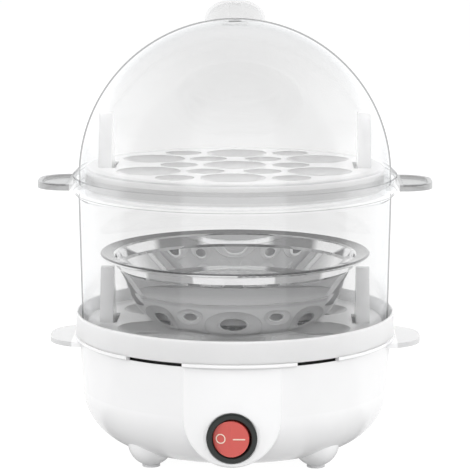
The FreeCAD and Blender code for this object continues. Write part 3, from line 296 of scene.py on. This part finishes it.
def ring_edge(s):
    """The sharp lower edge of the tier's ring."""
    miss = s.maths("ABSOLUTE", s.maths("SUBTRACT", s.axis("Z"), RING_EDGE))
    return s.both(s.under(miss, RING_EDGE_HALF), s.over(s.reach(), RING_EDGE_REACH))


def dome_outside(s):
    """Outer skin of the dome: what is farther from the ball's centre than the middle of its wall."""
    rise = s.maths("SUBTRACT", s.axis("Z"), DOME_CENTRE)
    square = s.maths("ADD", s.maths("POWER", s.reach(), 2.0), s.maths("POWER", rise, 2.0))
    return s.over(s.maths("SQRT", square), DOME_MIDDLE)


def knob_stem(s):
    return s.both(s.under(s.reach(), STEM_MASK_REACH), s.under(s.axis("Z"), STEM_MASK_TOP))


# ----------------------------------------------------------------- materials

FLOW_NOISE = (22.0, 4.0)
FLOW_BAND = (0.25, 0.75)
FLOW_SHARES = (0.965, 1.02)
GLOSS_NOISE = (140.0, 2.0)
GLOSS_SHARES = (0.85, 1.2)
GRAIN_HEIGHT = 0.00002
# painted shade: share of the housing ears' colour
EAR_SHADE_SHARE = 0.72
# painted shade: tone behind the vent slots
SLOT_SHADE_TONE = 0.02
COAT_ROUGHNESS = 0.06
EDGE_SHARE = 0.86
# painted light: share that whitens the trays' upright border
SKIRT_LIGHT_SHARE = 1.06
FROST_START = 0.6
FROST_END = 0.9
MILK_TINT = (0.90, 0.905, 0.91, 1.0)
STAIN_NOISE = (38.0, 4.0)
STAIN_BAND = (0.2, 0.8)
STAIN_SHARES = (0.93, 1.03)
METAL_NOISE = (160.0, 3.0)
METAL_SHARES = (0.7, 1.4)
# painted shade: share that darkens the bowl flange's upper face
FLANGE_SHADE_SHARE = 0.36
TURNING_SCALE = 900.0
TURNING_WOBBLE = 0.6
TURNING_HEIGHT = 0.00001
FILM_NOISE = (16.0, 3.0)
FILM_ROUGHNESS = (0.03, 0.07)
FILM_WAVES = (20.0, 2.0)
FILM_STRENGTH = 0.2
FILM_HEIGHT = 0.0001
FILM_TINT = (0.96, 0.97, 0.98, 1.0)
OUTLINE_START = 0.845
OUTLINE_END = 0.875
LINE_SHARE = 0.62
EAR_LEAST = 0.8
EAR_SIDE_PASSES = [(0.0, 0.58), (0.6, 0.62), (0.8, 0.72), (1.0, 0.68)]
EAR_FLAT_PASSES = [(0.0, 0.88), (0.6, 0.84), (0.8, 0.75), (1.0, 0.70)]
RING_PASSES = [(0.0, 0.985), (1.0, 0.99)]
TIER_PASSES = [(0.0, 0.930), (0.15, 0.934), (0.4, 0.950), (0.65, 0.970), (1.0, 0.970)]
DOME_PASSES = [(0.0, 0.952), (0.14, 0.947), (0.33, 0.961), (0.56, 0.979), (0.7, 0.989), (1.0, 0.989)]
KNOB_PASSES = [(0.0, 0.958), (1.0, 0.958)]
FILM_MIRRORS = [(0.0, 0.040), (0.3, 0.045), (0.5, 0.072), (0.64, 0.14), (0.76, 0.24), (0.85, 0.30),
                (1.0, 0.24)]


def tinted(colour, share):
    return tuple(min(1.0, channel * share) for channel in colour)


def varied(s, colour, noise, band, shares):
    """The colour in soft patches, from its first share to its second."""
    return s.ramp(s.noise(*noise), [(turn, tinted(colour, share)) for turn, share in zip(band, shares)])


def gloss_marks(s, roughness, noise, shares):
    """Roughness in soft patches, from its first share to its second."""
    return s.spread(s.noise(*noise), roughness * shares[0], roughness * shares[1])


def plastic_skin(s, tone, roughness, grain, strength, ior, soft, depth):
    """Plastic with a fine grain; soft is how much of the light goes under its skin, depth how far."""
    skin = s.add("ShaderNodeBsdfPrincipled")
    s.link(tone, skin.inputs["Base Color"])
    s.link(gloss_marks(s, roughness, GLOSS_NOISE, GLOSS_SHARES), skin.inputs["Roughness"])
    s.link(s.bump(s.noise(grain, 2.0), strength, GRAIN_HEIGHT), skin.inputs["Normal"])
    skin.inputs["IOR"].default_value = ior
    skin.inputs["Subsurface Weight"].default_value = soft
    skin.inputs["Subsurface Radius"].default_value = (depth, depth, depth)
    skin.inputs["Subsurface Scale"].default_value = 1.0
    return skin


def moulded(name, colour, roughness, grain=900.0, coat=0.0, soft=0.0, shade=None, shaded_ears=None):
    """Moulded plastic or rubber.

    shade masks the faces behind a slot, which are painted almost black as painted shade; the ear mask
    picks the housing's ears, which are painted greyer as painted shade."""
    s = material(name)
    tone = varied(s, colour, FLOW_NOISE, FLOW_BAND, FLOW_SHARES)
    # painted shade: the housing's ears are painted greyer
    if shaded_ears:
        tone = s.toned(tone, shaded_ears(s), EAR_SHADE_SHARE)
    # painted shade: the faces behind the vent slots are painted almost black
    if shade:
        tone = s.blend(shade(s), tone, SLOT_SHADE_TONE)
    skin = plastic_skin(s, tone, roughness, grain, strength=0.25, ior=1.48, soft=soft, depth=0.004)
    skin.inputs["Coat Weight"].default_value = coat
    skin.inputs["Coat Roughness"].default_value = COAT_ROUGHNESS
    return s.surface(skin.outputs["BSDF"])


def frosted(name, colour, roughness, passing, rim, skirt):
    """Thin milky plastic that lets part of the light straight through.

    rim masks its greyer outer edge; skirt masks its upright border, which is painted whiter as painted
    light."""
    s = material(name)
    border = skirt(s)
    tone = varied(s, colour, FLOW_NOISE, FLOW_BAND, FLOW_SHARES)
    # painted light: the upright border is painted whiter
    tone = s.toned(s.toned(tone, rim(s), EDGE_SHARE), border, SKIRT_LIGHT_SHARE)
    skin = plastic_skin(s, tone, roughness, grain=700.0, strength=0.2, ior=1.5, soft=1.0, depth=0.003)
    share = s.ramp(s.facing(), [(0.0, passing), (FROST_START, passing), (FROST_END, 0.0), (1.0, 0.0)])
    through = s.add("ShaderNodeBsdfTransparent")
    return s.surface(s.layered(s.blend(border, share, 0.0), skin.outputs["BSDF"], through.outputs["BSDF"]))


def milk(s):
    """Cloudy plastic that scatters as much light on as back."""
    back = s.add("ShaderNodeBsdfDiffuse")
    back.inputs["Color"].default_value = MILK_TINT
    on = s.add("ShaderNodeBsdfTranslucent")
    on.inputs["Color"].default_value = MILK_TINT
    return s.layered(0.5, back.outputs["BSDF"], on.outputs["BSDF"])


def clear(name, passing, outer=None, rim=1.0, ring=None, ears=None, line=None, stem=None, haze=0.0,
          gloss=1.0):
    """Clear moulded plastic as a film: it mirrors more where it is seen edge on.

    passing says how much light goes through; outer masks the outer skin, the only one with a dark outline,
    which passes the share in rim; ring masks a clearer ring, ears the flat tabs, line a moulded edge, and
    stem what is lost to sight inside; haze is the share of cloudy plastic."""
    s = material(name)
    facing = s.facing()
    passes = s.ramp(facing, passing)
    if outer:
        outline = s.ramp(facing, [(0.0, 1.0), (OUTLINE_START, 1.0), (OUTLINE_END, rim), (1.0, rim)])
        passes = s.times(passes, s.blend(outer(s), 1.0, outline))
    if ring:
        passes = s.blend(ring(s), passes, s.ramp(facing, RING_PASSES))
    if ears:
        side = s.ramp(facing, EAR_SIDE_PASSES)
        tab = s.blend(s.level_face(EAR_LEAST), side, s.ramp(facing, EAR_FLAT_PASSES))
        passes = s.blend(ears(s), passes, tab)
    if line:
        passes = s.toned(passes, line(s), LINE_SHARE)
    mirrors = s.ramp(facing, [(slant, share * gloss) for slant, share in FILM_MIRRORS])
    if stem:
        hidden = stem(s)
        passes = s.blend(hidden, passes, 1.0)
        mirrors = s.blend(hidden, mirrors, 0.0)
    shine = s.add("ShaderNodeBsdfGlossy")
    shine.inputs["Color"].default_value = FILM_TINT
    s.link(s.spread(s.noise(*FILM_NOISE), *FILM_ROUGHNESS), shine.inputs["Roughness"])
    s.link(s.bump(s.noise(*FILM_WAVES), FILM_STRENGTH, FILM_HEIGHT), shine.inputs["Normal"])
    body = s.add("ShaderNodeBsdfTransparent")
    s.link(passes, body.inputs["Color"])
    film = s.layered(mirrors, body.outputs["BSDF"], shine.outputs["BSDF"])
    if haze:
        film = s.layered(haze, film, milk(s))
    return s.surface(film)


def metal(name, colour, roughness, rings=0.0, shaded_faces=None):
    """Metal; rings is the strength of its turning marks, and the other mask picks faces whose colour is
    darkened as painted shade.
    """
    s = material(name)
    skin = s.add("ShaderNodeBsdfPrincipled")
    skin.inputs["Metallic"].default_value = 1.0
    tone = varied(s, colour, STAIN_NOISE, STAIN_BAND, STAIN_SHARES)
    # painted shade: the masked faces, the bowl flange's upper face, are painted darker
    if shaded_faces:
        tone = s.toned(tone, shaded_faces(s), FLANGE_SHADE_SHARE)
    s.link(tone, skin.inputs["Base Color"])
    s.link(gloss_marks(s, roughness, METAL_NOISE, METAL_SHARES), skin.inputs["Roughness"])
    if rings:
        wave = s.add("ShaderNodeTexWave", wave_type="RINGS", rings_direction="Z")
        wave.inputs["Scale"].default_value = TURNING_SCALE
        wave.inputs["Distortion"].default_value = TURNING_WOBBLE
        s.link(s.place, wave.inputs["Vector"])
        s.link(s.bump(wave.outputs["Fac"], rings, TURNING_HEIGHT), skin.inputs["Normal"])
    return s.surface(skin.outputs["BSDF"])


LOOKS = {
    # painted shade on the housing's ears and round its vent slots
    "housing": moulded("housing_white", (0.90, 0.90, 0.905), 0.24, coat=0.25, shade=slot_side_shade,
                       shaded_ears=housing_ears),
    # painted shade on the collar's spigot behind the vent slots
    "collar": moulded("collar_white", (0.83, 0.83, 0.835), 0.32, soft=1.0, shade=slot_back_shade),
    # painted light on the trays' upright border
    "tray": frosted("tray_milky", (0.895, 0.895, 0.90), 0.16, 0.35, tray_rim, tray_skirt),
    "pads": moulded("foot_rubber", (0.62, 0.62, 0.63), 0.6),
    "gland": moulded("gland_rubber", (0.72, 0.72, 0.73), 0.5),
    "seal": moulded("seal_silicone", (0.70, 0.70, 0.69), 0.45, soft=0.1),
    "black": moulded("switch_black", (0.013, 0.016, 0.015), 0.3, grain=1500.0),
    "red": moulded("rocker_red", (0.60, 0.085, 0.07), 0.22, coat=0.4, soft=0.05),
    "cream": moulded("mark_cream", (0.85, 0.72, 0.60), 0.4),
    "block": moulded("block_plastic", (0.78, 0.78, 0.75), 0.45),
    "ceramic": moulded("ceramic_white", (0.75, 0.73, 0.69), 0.55),
    "lead_red": moulded("lead_red", (0.42, 0.05, 0.04), 0.45),
    "lead_white": moulded("lead_white", (0.72, 0.72, 0.70), 0.45),
    "lead_blue": moulded("lead_blue", (0.04, 0.10, 0.32), 0.45),
    "tier": clear("tier_clear", TIER_PASSES, outer=tier_outside, rim=0.55, ring=tier_ring, ears=tier_ears,
                  line=ring_edge),
    "dome": clear("dome_clear", DOME_PASSES, outer=dome_outside, rim=0.50),
    "knob": clear("knob_clear", KNOB_PASSES, stem=knob_stem, haze=0.04, gloss=0.5),
    "washer": moulded("washer_white", (0.92, 0.92, 0.92), 0.4, soft=1.0),
    # painted shade on the bowl flange's upper face
    "mirror": metal("mirror_steel", (0.97, 0.97, 0.975), 0.02, shaded_faces=flange_top),
    "dish": metal("dish_steel", (0.64, 0.64, 0.65), 0.24, rings=0.5),
    "aluminium": metal("aluminium", (0.70, 0.71, 0.73), 0.38),
    "zinc": metal("zinc_steel", (0.58, 0.59, 0.60), 0.33),
    "brass": metal("brass", (0.74, 0.55, 0.25), 0.28),
}

DRESS = {
    "housing": ["base_housing"],
    "collar": ["collar_ring"],
    "tray": ["lower_egg_tray", "upper_egg_tray"],
    "pads": ["foot_pads"],
    "gland": ["cord_gland"],
    "seal": ["plate_seal"],
    "black": ["switch_body"],
    "red": ["rocker_button"],
    "block": ["terminal_block"],
    "ceramic": ["thermostat"],
    "lead_red": ["live_lead", "switched_lead"],
    "lead_white": ["fuse_lead", "element_lead"],
    "lead_blue": ["neutral_lead"],
    "tier": ["middle_tier"],
    "dome": ["lid_dome"],
    "knob": ["lid_knob"],
    "washer": ["knob_retainer"],
    "mirror": ["steel_bowl"],
    "dish": ["heating_plate"],
    "aluminium": ["heat_spreader"],
    "zinc": ["housing_screws", "plate_clips", "clip_screws", "heater_element", "thermostat_bracket",
             "thermostat_nuts", "thermal_fuse", "fuse_clip"],
    "brass": ["switch_terminals", "terminal_screws"],
}

for look, names in DRESS.items():
    for name in names:
        slots = nodes[name].data.materials
        slots.clear()
        slots.append(LOOKS[look])


# -------------------------------------------------------------------- meshes

WELD = 1e-7
SHARP_EDGE = math.radians(40.0)


def from_bmesh(name, bm, finish):
    mesh = bpy.data.meshes.new(name)
    bm.to_mesh(mesh)
    bm.free()
    piece = bpy.data.objects.new(name, mesh)
    bpy.context.scene.collection.objects.link(piece)
    mesh.materials.append(finish)
    return piece


def revolve(bm, outline, spot, segments):
    """Turn a closed half section round the upright line through the spot."""
    loops = []
    for step in range(segments):
        turn = 2 * math.pi * step / segments
        loops.append([bm.verts.new(spot + Vector((reach * math.cos(turn), reach * math.sin(turn), rise)))
                      for reach, rise in outline])
    for step, loop in enumerate(loops):
        following = loops[(step + 1) % segments]
        for index in range(len(outline)):
            after = (index + 1) % len(outline)
            bm.faces.new((loop[index], following[index], following[after], loop[after]))


def smooth_piece(name, bm, look):
    bmesh.ops.remove_doubles(bm, verts=bm.verts, dist=WELD)
    bmesh.ops.dissolve_degenerate(bm, edges=bm.edges, dist=WELD)
    bmesh.ops.recalc_face_normals(bm, faces=bm.faces)
    for face in bm.faces:
        face.smooth = True
    piece = from_bmesh(name, bm, LOOKS[look])
    piece.data.set_sharp_from_angle(angle=SHARP_EDGE)
    return piece


# ------------------------------------------------------- marks on the rocker

PIVOT = Vector((0.0, -0.0726, 0.0227))
REST_TURN = math.radians(-8.0)
FACE_RISE = 0.0040
ROOF_TURN = math.atan2(1.2, 8.8)
MARK_RISE = 0.00015
RING_SEGMENTS = 64
END_STEPS = 8
BAR_CROWN = 0.38


def ring_mesh(radius, wire):
    """Raised ring with a rounded top, in the XY plane."""
    bm = bmesh.new()
    outline = [(-wire, 0.0), (-wire * 0.8, MARK_RISE * 0.8), (0.0, MARK_RISE),
               (wire * 0.8, MARK_RISE * 0.8), (wire, 0.0)]
    revolve(bm, [(radius + across, up) for across, up in outline], Vector(), RING_SEGMENTS)
    bmesh.ops.recalc_face_normals(bm, faces=bm.faces)
    return bm


def bar_mesh(length, width):
    """Raised bar with rounded ends, in the XY plane."""
    bm = bmesh.new()
    rim = []
    top = []
    half = length / 2 - width / 2
    for side in (1, -1):
        for step in range(END_STEPS + 1):
            turn = -math.pi / 2 + math.pi * step / END_STEPS + (0 if side > 0 else math.pi)
            reach = Vector((math.cos(turn), math.sin(turn), 0.0))
            centre = Vector((half * side, 0.0, 0.0))
            rim.append(bm.verts.new(centre + reach * width / 2))
            top.append(bm.verts.new(centre + reach * width * BAR_CROWN + Vector((0, 0, MARK_RISE))))
    bm.faces.new(top)
    bm.faces.new(list(reversed(rim)))
    for index in range(len(rim)):
        after = (index + 1) % len(rim)
        bm.faces.new((rim[index], rim[after], top[after], top[index]))
    bmesh.ops.recalc_face_normals(bm, faces=bm.faces)
    return bm


def rocker_mark(name, bm, side, reach):
    """A mark on the left (-1) or right (+1) slope of the rocker's face, reach away from its middle."""
    piece = from_bmesh(name, bm, LOOKS["cream"])
    upright = Matrix.Rotation(math.radians(90.0), 4, "X")
    slope = Matrix.Rotation(ROOF_TURN * side, 4, "Z")
    seat = Matrix.Translation(Vector((side * reach, -(FACE_RISE - reach * math.tan(ROOF_TURN)), 0.0)))
    rest = Matrix.Translation(PIVOT) @ Matrix.Rotation(REST_TURN, 4, "Z")
    piece.matrix_world = rest @ seat @ slope @ upright
    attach(piece, "rocker")


rocker_mark("off_mark", ring_mesh(0.00205, 0.00026), -1, 0.0046)
rocker_mark("on_mark", bar_mesh(0.0056, 0.00058), 1, 0.0038)


# ----------------------------------------------------- cups in the egg trays

CUP_WALL = 0.0012
CUP_GAP = 0.00005
CUP_STEPS = 10
CUP_SEGMENTS = 56
SPOUT = 0.0012
TRAY_HEIGHT = 0.0095
EGG_PITCH = 0.0460
EGG_CUP = (0.0150, 0.0050, 0.0075)
STEAM_CUP = (0.0090, 0.0030, 0.0047)


def cup_outline(rim, depth, drain):
    """Half section of a round-bottomed cup with a lipped drain; the plate's top is at 0."""
    bend = (rim * rim + depth * depth) / (depth * 2.0)
    reaches = [rim + (drain + CUP_WALL - rim) * step / CUP_STEPS for step in range(CUP_STEPS + 1)]
    inside = [(reach, bend - depth - math.sqrt(bend * bend - reach * reach)) for reach in reaches]
    foot = inside[-1][1]
    lip = [
        (drain + CUP_WALL * 0.8, foot + CUP_WALL * 0.3),
        (drain + CUP_WALL * 0.4, foot + CUP_WALL * 0.4),
        (drain, foot + CUP_WALL * 0.1),
        (drain, foot - SPOUT),
        (drain + CUP_WALL * 0.6, foot - SPOUT),
    ]
    outside = [(reach, rise - CUP_WALL) for reach, rise in reversed(inside)]
    return inside + lip + outside


def tray_cups(name, tray, body):
    """A cup in each hole of the tray: seven for eggs, ten small ones for steam between them."""
    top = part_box(tray)[0][2] + TRAY_HEIGHT
    near = EGG_PITCH / math.sqrt(3.0)
    places = [(EGG_CUP, 0.0, 0)]
    places += [(EGG_CUP, EGG_PITCH, angle) for angle in range(30, 390, 60)]
    places += [(STEAM_CUP, near, angle) for angle in range(0, 360, 60)]
    places += [(STEAM_CUP, near * 2.0, angle) for angle in (60, 120, 240, 300)]
    bm = bmesh.new()
    for (rim, depth, drain), reach, angle in places:
        turn = math.radians(angle)
        spot = Vector((reach * math.cos(turn), reach * math.sin(turn), top))
        revolve(bm, cup_outline(rim - CUP_GAP, depth, drain), spot, CUP_SEGMENTS)
    piece = smooth_piece(name, bm, "tray")
    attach(piece, body)


tray_cups("lower_tray_cups", "lower_egg_tray", "lower_tray")
tray_cups("upper_tray_cups", "upper_egg_tray", "upper_tray")


# ----------------------------------------------------------- knob on the lid

KNOB_REACH = 0.0143
KNOB_WALL = 0.0013
KNOB_FOOT = 0.20555
KNOB_STEPS = 16
KNOB_SEGMENTS = 96
KNOB_FULLNESS = 0.9
STEM_REACH = 0.0030
STEM_FOOT = 0.2034


def cap_curve(reach, height):
    """Full round curve from the top of a cap out to its rim."""
    turns = [math.pi / 2 * step / KNOB_STEPS for step in range(KNOB_STEPS + 1)]
    return [(reach * max(0.0, math.sin(turn)) ** KNOB_FULLNESS,
             KNOB_FOOT + height * max(0.0, math.cos(turn)) ** KNOB_FULLNESS) for turn in turns]


def lid_knob_cap():
    """Hollow clear cap that rests on the dome, with its stem."""
    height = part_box("lid_knob")[1][2] - KNOB_FOOT
    outer = cap_curve(KNOB_REACH, height)
    hollow = cap_curve(KNOB_REACH - KNOB_WALL, height - KNOB_WALL)
    inner = [point for point in reversed(hollow) if point[0] > STEM_REACH]
    stem = [(STEM_REACH, inner[-1][1]), (STEM_REACH, STEM_FOOT), (0.0, STEM_FOOT)]
    bm = bmesh.new()
    revolve(bm, outer + inner + stem, Vector(), KNOB_SEGMENTS)
    piece = smooth_piece("lid_knob_cap", bm, "knob")
    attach(piece, "lid")
    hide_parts("lid_knob")


lid_knob_cap()


# -------------------------------------------------------------------- studio

FLOOR_RINGS = [0.3, 0.8, 2.0, 6.0, 14.0]
FLOOR_SEGMENTS = 96
FLOOR_NOISE = (3.0, 2.0)
FLOOR_PAINT = [(0.3, 0.14), (0.7, 0.15)]
FLOOR_GLOW = 0.94
FLOOR_BOUNCE = 0.33
CARD_TONE = 0.35
FLOOR_CARDS = [(0.0, 1.0), (0.195, 1.0), (0.205, CARD_TONE), (0.46, CARD_TONE), (0.49, 1.0), (1.0, 1.0)]
SKY_GLOW = 1.1
SKY_FLAGS = [(0.0, 0.95), (0.18, 0.95), (0.22, 0.30), (0.45, 0.30), (0.50, 1.0), (1.0, 1.0)]
SOFT_LIFT = [(0.0, 1.0), (0.35, 1.0), (0.5, 0.86), (0.7, 0.50), (0.85, 0.22), (1.0, 0.14)]
MIRROR_LIFT = [(0.0, 1.0), (0.24, 1.0), (0.36, 0.62), (0.5, 0.50), (0.7, 0.36), (1.0, 0.14)]
BACKDROP = (1.02, 1.02, 1.02, 1.0)
LIGHT_AIM = Vector((0, 0, 0.1))
SOFTBOXES = {
    "key_left": ((-1.85, -0.9, 0.8), 0.9, 1.4, 18.5),
    "key_right": ((1.9, -0.85, 0.7), 0.9, 1.4, 21.0),
    "key_top": ((0.0, -0.2, 1.4), 1.6, 1.6, 14.0),
    "key_front": ((0.0, -2.0, 1.1), 1.2, 0.8, 6.5),
    "key_back": ((0.0, 1.8, 1.3), 1.6, 1.0, 21.0),
}


def floor_paint():
    """Pale floor that glows, and shows a dim card on each side of the camera to what mirrors it."""
    s = material("studio_floor")
    paint = s.add("ShaderNodeBsdfDiffuse")
    s.link(s.ramp(s.noise(*FLOOR_NOISE), FLOOR_PAINT), paint.inputs["Color"])
    path = s.add("ShaderNodeLightPath")
    tone = s.blend(path.outputs["Is Glossy Ray"], 1.0, s.ramp(s.turn(), FLOOR_CARDS))
    glow = s.add("ShaderNodeEmission")
    glow.inputs["Strength"].default_value = FLOOR_GLOW
    s.link(s.blend(path.outputs["Is Diffuse Ray"], tone, FLOOR_BOUNCE), glow.inputs["Color"])
    sum_of_both = s.add("ShaderNodeAddShader")
    s.link(paint.outputs["BSDF"], sum_of_both.inputs[0])
    s.link(glow.outputs["Emission"], sum_of_both.inputs[1])
    return s.surface(sum_of_both.outputs["Shader"])


def studio_floor():
    bm = bmesh.new()
    centre = bm.verts.new((0, 0, 0))
    turns = [2 * math.pi * step / FLOOR_SEGMENTS for step in range(FLOOR_SEGMENTS)]
    loops = [[bm.verts.new((radius * math.cos(turn), radius * math.sin(turn), 0.0)) for turn in turns]
             for radius in FLOOR_RINGS]
    for step in range(FLOOR_SEGMENTS):
        after = (step + 1) % FLOOR_SEGMENTS
        bm.faces.new((centre, loops[0][step], loops[0][after]))
        for inner, outer in zip(loops, loops[1:]):
            bm.faces.new((inner[step], outer[step], outer[after], inner[after]))
    bmesh.ops.recalc_face_normals(bm, faces=bm.faces)
    from_bmesh("studio_floor", bm, floor_paint())


def studio_world():
    """White room that is dimmer overhead, with a dim flag to each side of the camera."""
    world = bpy.data.worlds.new("studio")
    bpy.context.scene.world = world
    s = Nodes(world, "ShaderNodeOutputWorld", "Generated")
    path = s.add("ShaderNodeLightPath")
    height = s.axis("Z")
    lift = s.blend(path.outputs["Is Glossy Ray"], s.ramp(height, SOFT_LIFT), s.ramp(height, MIRROR_LIFT))
    sky = s.add("ShaderNodeBackground")
    sky.inputs["Strength"].default_value = SKY_GLOW
    s.link(s.times(s.ramp(s.turn(), SKY_FLAGS), lift), sky.inputs["Color"])
    backdrop = s.add("ShaderNodeBackground")
    backdrop.inputs["Color"].default_value = BACKDROP
    s.surface(s.layered(path.outputs["Is Camera Ray"], sky.outputs["Background"],
                        backdrop.outputs["Background"]))


def softbox(name, spot, width, height, power):
    light = bpy.data.lights.new(name, "AREA")
    light.shape = "RECTANGLE"
    light.size = width
    light.size_y = height
    light.energy = power
    lamp = bpy.data.objects.new(name, light)
    lamp.location = spot
    lamp.rotation_euler = (LIGHT_AIM - Vector(spot)).to_track_quat("-Z", "Y").to_euler()
    lamp.visible_glossy = False
    bpy.context.scene.collection.objects.link(lamp)


studio_floor()
studio_world()
for name, (spot, width, height, power) in SOFTBOXES.items():
    softbox(name, spot, width, height, power)


# -------------------------------------------------------------------- camera

DISTANCE = 0.978
CAMERA_LEVEL = 0.263
AZIMUTH = math.radians(1.1)
PITCH = math.radians(9.28)
SENSOR = 36.0
IMAGE_PIXELS = 470.0
FOCAL_PIXELS = 2070.0

view = bpy.data.cameras.new("camera")
view.sensor_width = SENSOR
view.lens = FOCAL_PIXELS / IMAGE_PIXELS * SENSOR
camera = bpy.data.objects.new("camera", view)
camera.location = (DISTANCE * math.sin(AZIMUTH), -DISTANCE * math.cos(AZIMUTH), CAMERA_LEVEL)
camera.rotation_euler = (math.pi / 2 - PITCH, 0.0, AZIMUTH)
bpy.context.scene.collection.objects.link(camera)
bpy.context.scene.camera = camera
bpy.context.scene.view_settings.view_transform = "Standard"
